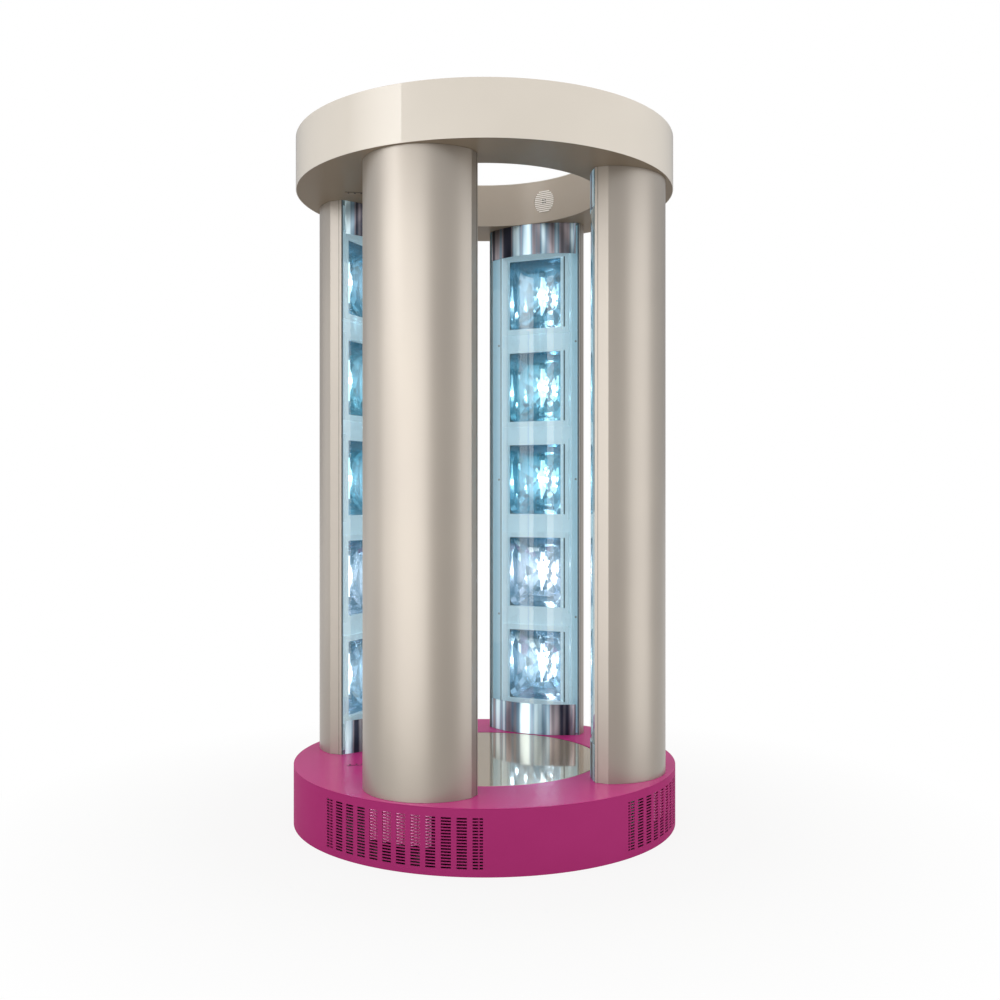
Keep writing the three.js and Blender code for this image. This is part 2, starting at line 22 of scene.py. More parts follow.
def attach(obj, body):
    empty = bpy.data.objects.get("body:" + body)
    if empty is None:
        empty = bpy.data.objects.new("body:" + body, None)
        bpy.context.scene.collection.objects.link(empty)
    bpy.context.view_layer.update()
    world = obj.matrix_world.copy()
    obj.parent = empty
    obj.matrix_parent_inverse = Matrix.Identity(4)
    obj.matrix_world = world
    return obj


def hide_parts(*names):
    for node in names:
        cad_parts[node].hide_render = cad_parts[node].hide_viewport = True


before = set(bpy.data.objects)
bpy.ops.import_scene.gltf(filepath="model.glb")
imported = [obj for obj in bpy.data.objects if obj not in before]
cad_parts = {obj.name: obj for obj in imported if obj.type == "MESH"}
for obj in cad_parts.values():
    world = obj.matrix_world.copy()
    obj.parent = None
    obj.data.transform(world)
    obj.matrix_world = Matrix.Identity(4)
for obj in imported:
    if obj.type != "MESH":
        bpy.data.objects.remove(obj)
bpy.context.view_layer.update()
LOG = logging.getLogger("booth")

MM = 0.001
Point = tuple[float, float]
Triple = tuple[float, float, float]
Colour = tuple[float, float, float, float]
Stops = tuple[tuple[float, str], ...]
Tree = bpy.types.NodeTree
Socket = bpy.types.NodeSocket
Links = dict[str | int, object]


@dataclass(frozen=True)
class Plan:
    """Sizes that several sub-assemblies share, the same as the CAD part's."""

    well_radius: float = 404 * MM  # hole in the deck and in the canopy
    base_radius: float = 657 * MM  # outside of the base drum
    canopy_radius: float = 650 * MM  # outside of the canopy
    column_radius: float = 437 * MM  # column axes from the booth's axis
    base_height: float = 200 * MM  # top of the deck
    canopy_bottom: float = 2150 * MM  # underside of the canopy
    canopy_top: float = 2327 * MM  # top edge of the fascia
    lid_top: float = 2309 * MM  # top of the canopy's lid
    lamp_count: int = 5  # lamps above each other in a column
    lowest_lamp: float = 453 * MM  # height of the lowest lamps' middles
    lamp_pitch: float = 361 * MM  # distance between lamps
    opening: Point = (230 * MM, 270 * MM)  # width and height of a lamp's opening
    pane_radius: float = 502.3 * MM  # middles of the filter panes from the booth's axis
    sheet: float = 2.5 * MM  # thickness of the rolled sheets
    gap: float = 0.3 * MM  # space between pieces that seat on each other


PLAN = Plan()
COLUMN_BEARINGS = {"front_left": -45.0, "front_right": 45.0, "rear_right": 135.0, "rear_left": -135.0}
ROUND = 192  # sides of a large turned piece
CREASE = 32.0  # degrees above which an edge stays sharp
COAT_BUMP = 0.35  # share of a coat's ripples that shows
GRAIN_BUMP = 0.3  # share of a grain's height that shows
LEVEL = (1, 1, 0)  # takes the height out of a place
LYING = Matrix.Rotation(math.radians(90), 4, "Y")  # lays what stands along Z along X
BEVEL_ANGLE = math.radians(40)  # edges sharper than this are rounded
# A rounding takes just under half of a side, and its guard point a little more
ROUNDING_SHARE, GUARD_SHARE, GUARD_REACH = 1 / 2.01, 1 / 2.005, 1.5
# Radius and height of a screw head's turned section, as shares of its radius, and its sides
SCREW_PROFILE = ((0, -0.1), (1, -0.1), (1, 0.12), (0.75, 0.4), (0.45, 0.45), (0.4275, 0.05), (0, 0.05))
SCREW_SIDES = 12


def linear(code: str) -> Colour:
    """Turns an sRGB colour into linear light.

    Args:
        code: The colour as "#rrggbb".

    Returns:
        Red, green, blue and alpha.
    """
    shares = [int(code[i : i + 2], 16) / 255 for i in (1, 3, 5)]
    light = [s / 12.92 if s <= 0.04045 else ((s + 0.055) / 1.055) ** 2.4 for s in shares]
    return (light[0], light[1], light[2], 1.0)


def add_node(
    tree: Tree, kind: str, links: Links | None = None, stops: Stops = (), **settings: object
) -> bpy.types.Node:
    """Adds one node with its settings and links.

    Args:
        tree: The tree that gets the node.
        kind: Blender's name for the node.
        links: For each input, the output that feeds it or its constant.
        stops: For a colour ramp, the places and colours along it.
        **settings: The node's own properties.

    Returns:
        The new node.
    """
    node = tree.nodes.new(kind)
    for name, value in settings.items():
        setattr(node, name, value)
    for key, source in (links or {}).items():
        if isinstance(source, Socket):
            tree.links.new(source, node.inputs[key])
        else:
            node.inputs[key].default_value = source
    for i, (place, code) in enumerate(stops):
        elements = node.color_ramp.elements
        element = elements[i] if i < len(elements) else elements.new(place)
        element.position = place
        element.color = linear(code)
    return node


def from_axis(tree: Tree, place: Socket) -> Socket:
    """Adds the measure of a place's distance from the booth's axis."""
    flat = add_node(tree, "ShaderNodeVectorMath", {0: place, 1: LEVEL}, operation="MULTIPLY").outputs[0]
    return add_node(tree, "ShaderNodeVectorMath", {0: flat}, operation="LENGTH").outputs["Value"]


def above_lamp(tree: Tree, height: Socket) -> Socket:
    """Adds the measure of the height above the nearest lamp's middle.

    Args:
        tree: The material's tree.
        height: Height above the floor.

    Returns:
        The height above the lamp, negative below it.
    """
    above = add_node(tree, "ShaderNodeMath", {0: height, 1: PLAN.lowest_lamp}, operation="SUBTRACT")
    half = PLAN.lamp_pitch / 2
    span = {0: above.outputs[0], 1: half, 2: -half}
    return add_node(tree, "ShaderNodeMath", span, operation="WRAP").outputs[0]


@dataclass(frozen=True)
class Finish(ABC):
    """A material that is made once and shared by all pieces that wear it."""

    name: str  # the real material's name
    slot: str  # the record's material slot

    def material(self) -> bpy.types.Material:
        """Makes the material, or finds it if it is already made.

        Returns:
            The Blender material.
        """
        made = bpy.data.materials.get(self.name)
        if made is None:
            made = bpy.data.materials.new(self.name)
            made.use_nodes = True
            made.node_tree.nodes.clear()
            surface = self.surface(made.node_tree)
            add_node(made.node_tree, "ShaderNodeOutputMaterial", {"Surface": surface})
        return made

    @abstractmethod
    def surface(self, tree: Tree) -> Socket:
        """Adds the material's nodes.

        Args:
            tree: The material's tree.

        Returns:
            The shader output.
        """


@dataclass(frozen=True)
class Paint(Finish):
    """Sprayed enamel: its tone drifts with the spray passes and fine ripples break up its reflections."""

    colour: str  # main tone
    drift: str  # tone where the coat is thickest
    roughness: float  # how blurred its own reflections are
    metallic: float = 0.0  # share of metal flakes
    coat: float = 0.0  # weight of the clear coat
    coat_blur: float = 0.04  # how blurred the coat's reflections are
    coat_ior: float = 1.5  # the coat's index of refraction
    specular: float = 0.5  # strength of the paint's own reflections
    spray: float = 260 * MM  # width of a spray pass
    peel: float = 3.0 * MM  # size of the ripples
    peel_depth: float = 0.01 * MM  # height of the ripples

    def surface(self, tree: Tree) -> Socket:
        """Adds drifting tone, ripples and the coated shader.

        Args:
            tree: The material's tree.

        Returns:
            The shader output.
        """
        thin, thick = 0.3, 0.75  # shares of the noise
        place = add_node(tree, "ShaderNodeTexCoord").outputs["Object"]
        noise = {"Vector": place, "Scale": 1 / self.spray, "Detail": 2.0}
        passes = add_node(tree, "ShaderNodeTexNoise", noise).outputs["Fac"]
        stops = ((thin, self.colour), (thick, self.drift))
        tone = add_node(tree, "ShaderNodeValToRGB", {"Fac": passes}, stops)
        noise = {"Vector": place, "Scale": 1 / self.peel, "Detail": 1.0}
        ripples = add_node(tree, "ShaderNodeTexNoise", noise).outputs["Fac"]
        relief = {"Height": ripples, "Strength": COAT_BUMP, "Distance": self.peel_depth}
        shader = {
            "Base Color": tone.outputs["Color"],
            "Roughness": self.roughness,
            "Metallic": self.metallic,
            "Specular IOR Level": self.specular,
            "Coat Weight": self.coat,
            "Coat Roughness": self.coat_blur,
            "Coat IOR": self.coat_ior,
            "Normal": add_node(tree, "ShaderNodeBump", relief).outputs["Normal"],
        }
        return add_node(tree, "ShaderNodeBsdfPrincipled", shader).outputs["BSDF"]


@dataclass(frozen=True)
class LitPaint(Finish):
    """Powder coat with the lamps' light painted on as a glow, and painted shade that turns it bluer towards
    the margins of a column's front.
    """

    colour: str  # tone beside the lamps
    margin: str  # painted shade: the darker, bluer tone at the margins
    reach: Point  # distances from the booth's axis between which the painted shade comes in
    painted_glow: float  # painted glow of lamp light on the coat
    roughness: float = 0.42  # how blurred its reflections are
    grain: float = 1.5 * MM  # size of the powder's grain
    grain_height: float = 0.01 * MM  # height of the grain

    def surface(self, tree: Tree) -> Socket:
        """Adds the painted shade by distance from the axis, the grain and the shader with its painted glow.

        Args:
            tree: The material's tree.

        Returns:
            The shader output.
        """
        place = add_node(tree, "ShaderNodeTexCoord").outputs["Object"]
        # Painted shade: the tone turns darker and bluer towards the margins
        near, far = self.reach
        span = {"Value": from_axis(tree, place), "From Min": near, "From Max": far}
        share = add_node(tree, "ShaderNodeMapRange", span).outputs["Result"]
        stops = ((0.0, self.colour), (1.0, self.margin))
        tone = add_node(tree, "ShaderNodeValToRGB", {"Fac": share}, stops).outputs["Color"]
        noise = {"Vector": place, "Scale": 1 / self.grain, "Detail": 1.0}
        powder = add_node(tree, "ShaderNodeTexNoise", noise).outputs["Fac"]
        relief = {"Height": powder, "Strength": COAT_BUMP, "Distance": self.grain_height}
        # Painted light: the coat glows with the lamps' light though it is no lamp
        shader = {
            "Base Color": tone,
            "Roughness": self.roughness,
            "Emission Color": tone,
            "Emission Strength": self.painted_glow,
            "Normal": add_node(tree, "ShaderNodeBump", relief).outputs["Normal"],
        }
        return add_node(tree, "ShaderNodeBsdfPrincipled", shader).outputs["BSDF"]


class Grain(Enum):
    """Which way the fine lines in a metal run."""

    DRAWN = "along Z"
    TURNED = "round Z"
    NONE = "all ways"


@dataclass(frozen=True)
class Metal(Finish):
    """Bare or plated metal, with fine lines that vary how sharply it mirrors, and broad streaks of painted
    reflection if it has any.
    """

    colour: str  # tone of the reflections
    roughness: Point  # least and most blur of the reflections
    grain: Grain = Grain.NONE  # which way the lines run
    line: float = 1.5 * MM  # distance between lines
    stretch: float = 0.0  # how far brushing round the axis stretches reflections upright
    metallic: float = 1.0  # share of the surface that mirrors; the rest is a pale veil
    reflection_streaks: Stops = ()  # tones of broad upright streaks of painted reflection, if it has any
    reflection_streak: float = 40 * MM  # width of a streak of painted reflection
    phase: float = 0.0  # how far lines and streaks are moved along X

    def surface(self, tree: Tree) -> Socket:
        """Adds the lines, the painted reflection streaks and the metal shader.

        Args:
            tree: The material's tree.

        Returns:
            The shader output.
        """
        place = add_node(tree, "ShaderNodeTexCoord").outputs["Object"]
        if self.grain is Grain.TURNED:
            place = from_axis(tree, place)
        squeeze = 0.01 if self.grain is Grain.DRAWN else 1.0  # draws the pattern out along Z
        pattern = {"Vector": place, "Location": (self.phase, 0, 0), "Scale": (1, 1, squeeze)}
        spot = add_node(tree, "ShaderNodeMapping", pattern).outputs["Vector"]
        noise = {"Vector": spot, "Scale": 1 / self.line, "Detail": 3.0}
        lines = add_node(tree, "ShaderNodeTexNoise", noise).outputs["Fac"]
        low, high = self.roughness
        blur = add_node(tree, "ShaderNodeMapRange", {"Value": lines, "To Min": low, "To Max": high})
        shader = {
            "Base Color": linear(self.colour),
            "Metallic": self.metallic,
            "Roughness": blur.outputs["Result"],
        }
        if self.stretch:
            quarter_turn = 0.25
            round_axis = add_node(tree, "ShaderNodeTangent", direction_type="RADIAL", axis="Z")
            shader["Tangent"] = round_axis.outputs["Tangent"]
            shader["Anisotropic"] = self.stretch
            shader["Anisotropic Rotation"] = quarter_turn
        # Painted reflections: broad upright streaks of dark, pale and lamp-blue tone
        if self.reflection_streaks:
            noise = {"Vector": spot, "Scale": 1 / self.reflection_streak, "Detail": 1.0}
            broad = add_node(tree, "ShaderNodeTexNoise", noise).outputs["Fac"]
            tone = add_node(tree, "ShaderNodeValToRGB", {"Fac": broad}, self.reflection_streaks)
            shader["Base Color"] = tone.outputs["Color"]
        return add_node(tree, "ShaderNodeBsdfPrincipled", shader).outputs["BSDF"]


@dataclass(frozen=True)
class Glass(Finish):
    """Clear sheet that lets the lamps' light through, its tint changing with height; it can carry a painted
    glow, brightest before each lamp, and painted shade above each lamp.
    """

    tints: Stops  # heights, as shares of the canopy's underside, and the tints there
    shade: str  # tint of the light that falls through
    ior: float = 1.49  # index of refraction
    painted_haze: str = "#000000"  # painted glow of lamp light that the sheet shows all over
    painted_halo: str = ""  # painted glow right before a lamp, if there is one behind it
    reach: float = 95 * MM  # how far from a lamp's middle the painted glow spreads
    top: str = "#ffffff"  # painted shade: what the tint is multiplied by above a lamp
    top_shade_fade: Point = (70 * MM, 135 * MM)  # heights above a lamp between which the painted shade at the top begins

    def surface(self, tree: Tree) -> Socket:
        """Adds the tint by height, the painted glow and painted shade, and the refracting shader, clear to
        shadow rays.

        Args:
            tree: The material's tree.

        Returns:
            The shader output.
        """
        place = add_node(tree, "ShaderNodeTexCoord").outputs["Object"]
        height = add_node(tree, "ShaderNodeSeparateXYZ", {"Vector": place}).outputs["Z"]
        span = {"Value": height, "From Max": PLAN.canopy_bottom}
        level = add_node(tree, "ShaderNodeMapRange", span).outputs["Result"]
        tint = add_node(tree, "ShaderNodeValToRGB", {"Fac": level}, self.tints).outputs["Color"]
        shader = {
            "Base Color": tint,
            "Transmission Weight": 1.0,
            "IOR": self.ior,
            "Roughness": 0.0,
            "Emission Color": linear(self.painted_haze),
            "Emission Strength": 1.0,
        }
        # Painted light: a glow before each lamp, and painted shade that darkens the pane above it
        if self.painted_halo:
            up = above_lamp(tree, height)
            near = self.near_lamp(tree, place, up)
            light = add_node(tree, "ShaderNodeValToRGB", {"Fac": near}, ((0.0, self.painted_haze), (1.0, self.painted_halo)))
            shader["Emission Color"] = light.outputs["Color"]
            low, high = self.top_shade_fade
            fade = {"Value": up, "From Min": low, "From Max": high}
            share = add_node(tree, "ShaderNodeMapRange", fade, interpolation_type="SMOOTHSTEP")
            top_shaded = {0: share.outputs["Result"], 6: tint, 7: linear(self.top)}
            mixed = add_node(tree, "ShaderNodeMix", top_shaded, data_type="RGBA", blend_type="MULTIPLY")
            shader["Base Color"] = mixed.outputs[2]
        body = add_node(tree, "ShaderNodeBsdfPrincipled", shader)
        clear = add_node(tree, "ShaderNodeBsdfTransparent", {"Color": linear(self.shade)})
        path = add_node(tree, "ShaderNodeLightPath")
        mix = {0: path.outputs["Is Shadow Ray"], 1: body.outputs["BSDF"], 2: clear.outputs["BSDF"]}
        return add_node(tree, "ShaderNodeMixShader", mix).outputs["Shader"]

    def near_lamp(self, tree: Tree, place: Socket, up: Socket) -> Socket:
        """Adds the measure of how near a point of a pane is to its lamp's middle, for the painted glow.

        Args:
            tree: The material's tree.
            place: Object coordinates.
            up: Height above the lamp's middle.

        Returns:
            1 before the lamp, 0 where the painted glow ends.
        """
        away = from_axis(tree, place)
        square = add_node(tree, "ShaderNodeMath", {0: away, 1: away}, operation="MULTIPLY").outputs[0]
        across = add_node(tree, "ShaderNodeMath", {0: square, 1: PLAN.pane_radius**2}, operation="SUBTRACT")
        terms = {0: up, 1: up, 2: across.outputs[0]}
        apart = add_node(tree, "ShaderNodeMath", terms, operation="MULTIPLY_ADD").outputs[0]
        fade = {"Value": apart, "From Max": self.reach**2, "To Min": 1.0, "To Max": 0.0}
        return add_node(tree, "ShaderNodeMapRange", fade, interpolation_type="SMOOTHERSTEP").outputs["Result"]


@dataclass(frozen=True)
class Glow(Finish):
    """Lit arc tube: the plasma is whitest where it is thickest."""

    core: str  # light of the thick parts
    edge: str  # light of the thin parts
    strength: float  # brightness of the tube
    arc: float  # brightness of the arc in its middle
    arc_half: float = 14 * MM  # half the arc's length
    plasma: float = 18 * MM  # size of the plasma's billows

    def surface(self, tree: Tree) -> Socket:
        """Adds the uneven light, brightest at the arc.

        Args:
            tree: The material's tree.

        Returns:
            The shader output.
        """
        thin, thick = 0.35, 0.6  # shares of the noise
        place = add_node(tree, "ShaderNodeTexCoord").outputs["Object"]
        noise = {"Vector": place, "Scale": 1 / self.plasma, "Detail": 1.0}
        billows = add_node(tree, "ShaderNodeTexNoise", noise).outputs["Fac"]
        stops = ((thin, self.edge), (thick, self.core))
        light = add_node(tree, "ShaderNodeValToRGB", {"Fac": billows}, stops).outputs["Color"]
        height = add_node(tree, "ShaderNodeSeparateXYZ", {"Vector": place}).outputs["Z"]
        up = above_lamp(tree, height)
        away = add_node(tree, "ShaderNodeMath", {0: up}, operation="ABSOLUTE").outputs[0]
        fade = {"Value": away, "From Max": self.arc_half, "To Min": self.arc, "To Max": self.strength}
        strength = add_node(tree, "ShaderNodeMapRange", fade, interpolation_type="SMOOTHSTEP")
        shader = {"Color": light, "Strength": strength.outputs["Result"]}
        return add_node(tree, "ShaderNodeEmission", shader).outputs["Emission"]


@dataclass(frozen=True)
class Moulded(Finish):
    """Moulded plastic, rubber or ceramic with a fine sparked grain."""

    colour: str  # main tone
    worn: str  # tone of the grain's high spots
    roughness: float  # blur of the reflections
    grain: float = 0.8 * MM  # size of the grain
    grain_height: float = 0.05 * MM  # height of the grain

    def surface(self, tree: Tree) -> Socket:
        """Adds the grain to tone and surface.

        Args:
            tree: The material's tree.

        Returns:
            The shader output.
        """
        low, high = 0.4, 0.8  # shares of the noise
        place = add_node(tree, "ShaderNodeTexCoord").outputs["Object"]
        noise = {"Vector": place, "Scale": 1 / self.grain, "Detail": 2.0}
        specks = add_node(tree, "ShaderNodeTexNoise", noise).outputs["Fac"]
        tone = add_node(tree, "ShaderNodeValToRGB", {"Fac": specks}, ((low, self.colour), (high, self.worn)))
        relief = {"Height": specks, "Strength": GRAIN_BUMP, "Distance": self.grain_height}
        shader = {
            "Base Color": tone.outputs["Color"],
            "Roughness": self.roughness,
            "Normal": add_node(tree, "ShaderNodeBump", relief).outputs["Normal"],
        }
        return add_node(tree, "ShaderNodeBsdfPrincipled", shader).outputs["BSDF"]


# Magenta enamel of the base: saturated and nearly matt
MAGENTA = Paint("magenta enamel", "magenta_paint", "#a4306e", "#a93473", 0.5, specular=0.02)
# The same enamel on the deck, glossier and painted brighter for the light that falls on its top, with the
# lamps' sheen
TOP_LIT_MAGENTA = Paint("satin magenta enamel", "magenta_paint", "#b8347c", "#bd3981", 0.25, specular=0.1)
# Lacquered bright aluminium of the air guides: pink glints behind the slots
LACQUER = Metal("magenta-lacquered aluminium", "magenta_paint", "#e39ac4", (0.2, 0.3))
# Champagne flake paint of the shells under a silky coat: broad pale highlights between darker sides
CHAMPAGNE = Paint(
    "champagne flake paint", "champagne_paint", "#80766a", "#857b6e", 0.42, metallic=0.35, coat=1.0,
    coat_blur=0.38, coat_ior=1.9,
)
# Champagne enamel of the canopy's inner wall: flatter than the shells
TAUPE = Paint("champagne enamel", "champagne_paint", "#aca092", "#b0a497", 0.3, specular=0.3)
# The same enamel on the canopy's underside, painted darker for the shade under the canopy, with a faint sheen
# of the columns
SHADED_CHAMPAGNE = Paint("shaded champagne enamel", "champagne_paint", "#877a69", "#8b7e6d", 0.35, specular=0.04)
# Cream enamel of the canopy: even and pale under a clear gloss
CREAM = Paint("cream enamel", "cream_paint", "#dcd5ca", "#e0d9ce", 0.35, specular=0.2, coat=0.9)
# White enamel of the loudspeaker's louvres: the palest spot on the canopy's inner wall
LOUVRE_WHITE = Paint("white enamel", "cream_paint", "#f6f1ea", "#f9f5ef", 0.4, specular=0.3)
# Pale blue powder coat of the lamp frames, with painted lamp light glowing in it and painted shade that turns
# it bluer at the margins
FRAME_WHITE = LitPaint(
    "pale blue powder coat", "frame_paint", "#dbe9ee", "#a5d2e4", (516 * MM, 529 * MM), 0.25
)
# Polished steel of the platform: warm grey reflections under a pale veil, with rings from turning
STEEL = Metal(
    "polished stainless steel", "polished_steel", "#dccbb6", (0.04, 0.08), Grain.TURNED, metallic=0.65
)
# Brushed aluminium of the bands, with upright streaks of painted reflection in dark, light and the lamps'
# blue
ALUMINIUM = Metal(
    "brushed aluminium", "polished_aluminium", "#a3a0ab", (0.4, 0.48), Grain.DRAWN, stretch=1.0,
    reflection_streaks=((0.36, "#3b3d4c"), (0.46, "#a8a0a6"), (0.53, "#7f9db3"), (0.6, "#daf0f8")), phase=100 * MM,
)
# Bright anodised reflector sheet: hammered facets that catch glints of the lamp
MIRROR = Metal("bright anodised aluminium", "mirror_aluminium", "#e4eef4", (0.04, 0.25), line=45 * MM)
# Zinc plate of the works inside the base: dull grey
ZINC = Metal("zinc-plated steel", "zinc_steel", "#9a9d9f", (0.3, 0.5), line=6 * MM)
# Blue-tinted acrylic of the windows: clear, with a faint painted glow of lamp light over what stands behind
# it
ACRYLIC = Glass(
    "blue-tinted acrylic", "clear_acrylic", ((0.0, "#eff5f8"), (1.0, "#e9f3f7")), "#dff0f6", painted_haze="#112126"
)
# Coated filter glass: teal above and pale lilac below, with a painted glow that is brightest before its lamp
# and painted shade that darkens it at its top
FILTER = Glass(
    "coated filter glass", "filter_glass",
    ((0.21, "#dfeaf4"), (0.38, "#f0eef6"), (0.55, "#a3d9e6"), (0.71, "#b4dfe8"), (0.88, "#bcd8e4")),
    "#c3e4f0", ior=1.2, painted_haze="#14242a", painted_halo="#6b777c", top="#7496a8",
)
# Lit quartz arc tube: white with a cool edge, its arc so bright that the facets glint with it
QUARTZ = Glow("lit quartz arc tube", "lamp_quartz", "#ffffff", "#dff4ff", 2.5, 25.0)
# Glazed ceramic of the lamp holders: plain white
CERAMIC = Moulded("glazed ceramic", "lamp_quartz", "#e9ebec", "#f4f6f6", 0.35)
# Black moulded plastic of fans, guards, gland and boxes: dark, with a dull shine
PLASTIC = Moulded("black moulded plastic", "black_plastic", "#191a1c", "#26272a", 0.45)
# Grey silicone of the windows' seals: soft lines beside the jambs
SILICONE = Moulded("grey silicone", "black_rubber", "#55636c", "#5d6b74", 0.5)
# Black rubber of seams, seals and roller, also worn by the dark strips and holes painted as shade: matt
RUBBER = Moulded("black rubber", "black_rubber", "#101115", "#1c1d22", 0.7)


@dataclass
class Shape:
    """Corners and faces of a piece before it becomes an object."""

    corners: list[Vector]  # where the corners are
    faces: list[tuple[int, ...]]  # for each face, the numbers of its corners

    @classmethod
    def turned(cls, outline: Sequence[Point], sides: int = ROUND) -> "Shape":
        """Turns a closed outline round the Z axis.

        Args:
            outline: Radius and height of each point; a radius of 0 makes a pole.
            sides: Flat sides of the ring.

        Returns:
            The turned shape.
        """
        corners: list[Vector] = []
        rings: list[list[int]] = []
        for radius, height in outline:
            count = sides if radius > 0 else 1
            rings.append([len(corners) + i for i in range(count)])
            for i in range(count):
                turn = 2 * math.pi * i / sides
                corners.append(Vector((radius * math.cos(turn), radius * math.sin(turn), height)))
        faces: list[tuple[int, ...]] = []
        for here, there in zip(rings, rings[1:] + rings[:1]):
            for i in range(sides if len(here) + len(there) > 2 else 0):
                loop = [here[i % len(here)], here[(i + 1) % len(here)]]
                loop += [there[(i + 1) % len(there)], there[i % len(there)]]
                faces.append(tuple(dict.fromkeys(loop)))
        return cls(corners, faces)

    @classmethod
    def raised(cls, outline: Sequence[Point], low: float, high: float) -> "Shape":
        """Raises a closed outline from one height to another.

        Args:
            outline: X and Y of each point.
            low: Height of the bottom.
            high: Height of the top.

        Returns:
            The raised shape.
        """
        count = len(outline)
        corners = [Vector((x, y, z)) for z in (low, high) for x, y in outline]
        sides = [(i, (i + 1) % count, count + (i + 1) % count, count + i) for i in range(count)]
        ends = [tuple(reversed(range(count))), tuple(range(count, 2 * count))]
        return cls(corners, sides + ends)

    @classmethod
    def block(cls, low: Sequence[float], high: Sequence[float]) -> "Shape":
        """Makes a block between its lowest and its highest corner."""
        return cls.raised(oblong((low[0], low[1]), (high[0], high[1])), low[2], high[2])

    @classmethod
    def bowl(cls, tiers: Sequence[Sequence[Vector]]) -> "Shape":
        """Joins rings of corners into a bowl that is closed at its last ring.

        Args:
            tiers: The rings, each with the same number of corners.

        Returns:
            The bowl, without thickness.
        """
        count = len(tiers[0])
        corners = [corner for tier in tiers for corner in tier]
        faces: list[tuple[int, ...]] = []
        for t in range(len(tiers) - 1):
            for i in range(count):
                j = (i + 1) % count
                faces.append((t * count + i, t * count + j, (t + 1) * count + j, (t + 1) * count + i))
        faces.append(tuple(range((len(tiers) - 1) * count, len(tiers) * count)))
        return cls(corners, faces)

    @classmethod
    def together(cls, parts: Sequence["Shape"]) -> "Shape":
        """Puts shapes together.

        Args:
            parts: The shapes.

        Returns:
            One shape with all of them.
        """
        corners: list[Vector] = []
        faces: list[tuple[int, ...]] = []
        for part in parts:
            start = len(corners)
            corners += part.corners
            faces += [tuple(start + i for i in face) for face in part.faces]
        return cls(corners, faces)

    def moved(self, matrix: Matrix) -> "Shape":
        """Returns a copy of the shape, moved by a matrix."""
        return Shape([matrix @ corner for corner in self.corners], list(self.faces))

    def bare(self, name: str) -> bpy.types.Object:
        """Makes an object without any finish.

        Args:
            name: The object's name.

        Returns:
            The object.
        """
        mesh = bpy.data.meshes.new(name)
        mesh.from_pydata([tuple(corner) for corner in self.corners], [], self.faces)
        obj = bpy.data.objects.new(name, mesh)
        bpy.context.scene.collection.objects.link(obj)
        return obj

    def show(
        self,
        name: str,
        finish: Finish,
        *nodes: str,
        body: str = "booth",
        bevel: float = 0.0,
        cutter: "Shape | None" = None,
        crease: float = CREASE,
    ) -> None:
        """Makes a finished piece and fixes it to the frame.

        Args:
            name: The piece's name.
            finish: What it wears.
            *nodes: The CAD nodes that it stands for.
            body: The CAD body that it moves with.
            bevel: Width of the rounded edges.
            cutter: A shape that is cut away.
            crease: Angle in degrees above which an edge stays sharp.
        """
        obj = self.bare(name)
        tool = cutter.bare(name + "_cutter") if cutter else None
        if tool:
            face_outward(tool.data)
            face_outward(obj.data)
            boolean = obj.modifiers.new("cut", "BOOLEAN")
            boolean.operation = "DIFFERENCE"
            boolean.solver = "EXACT"
            boolean.object = tool
        if bevel:
            edges = obj.modifiers.new("edges", "BEVEL")
            edges.width = bevel
            edges.segments = 2
            edges.harden_normals = True
            edges.limit_method = "ANGLE"
            edges.angle_limit = BEVEL_ANGLE
        settle(obj, finish, crease)
        if tool:
            bpy.data.objects.remove(tool)
        mount(obj, finish, *nodes, body=body)


def face_outward(mesh: bpy.types.Mesh) -> None:
    """Turns a mesh's faces outward.

    Args:
        mesh: The mesh that is changed.
    """
    work = bmesh.new()
    work.from_mesh(mesh)
    bmesh.ops.recalc_face_normals(work, faces=work.faces)
    work.to_mesh(mesh)
    work.free()


def settle(obj: bpy.types.Object, finish: Finish, crease: float) -> None:
    """Turns an object's modifiers into a plain mesh and gives it its finish.

    Args:
        obj: The object.
        finish: What it wears.
        crease: Angle in degrees above which an edge stays sharp.
    """
    graph = bpy.context.evaluated_depsgraph_get()
    mesh = bpy.data.meshes.new_from_object(obj.evaluated_get(graph))
    obj.modifiers.clear()
    obj.data = mesh
    face_outward(mesh)
    mesh.materials.clear()
    mesh.materials.append(finish.material())
    mesh.shade_smooth()
    mesh.set_sharp_from_angle(angle=math.radians(crease))


def mount(obj: bpy.types.Object, finish: Finish, *nodes: str, body: str = "booth") -> None:
    """Fixes a piece to the frame.

    Args:
        obj: The piece.
        finish: What it wears; not used.
        *nodes: The CAD nodes that it stands for.
        body: The CAD body that it moves with.
    """
    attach(obj, body)
    if nodes:
        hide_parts(*nodes)


def dress(node: str, finish: Finish) -> None:
    """Gives a CAD node that stays shown its finish.

    Args:
        node: The CAD node.
        finish: What it wears.
    """
    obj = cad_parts[node]
    obj.data.materials.clear()
    obj.data.materials.append(finish.material())


def facing(bearing: float, radius: float = 0.0, height: float = 0.0) -> Matrix:
    """Returns the matrix from a frame whose X runs outwards at a bearing, at a radius and a height."""
    turn = Matrix.Rotation(math.radians(bearing - 90), 4, "Z")
    return turn @ Matrix.Translation((radius, 0, height))


def oblong(low: Point, high: Point) -> list[Point]:
    """Lists the corners of an oblong between its lowest and its highest corner."""
    return [low, (high[0], low[1]), high, (low[0], high[1])]


def arc(centre: Point, radius: float, start: float, end: float, steps: int) -> list[Point]:
    """Lists the points that part an arc, from one angle in radians to another, into straight steps."""
    angles = [start + (end - start) * i / steps for i in range(steps + 1)]
    return [(centre[0] + radius * math.cos(a), centre[1] + radius * math.sin(a)) for a in angles]


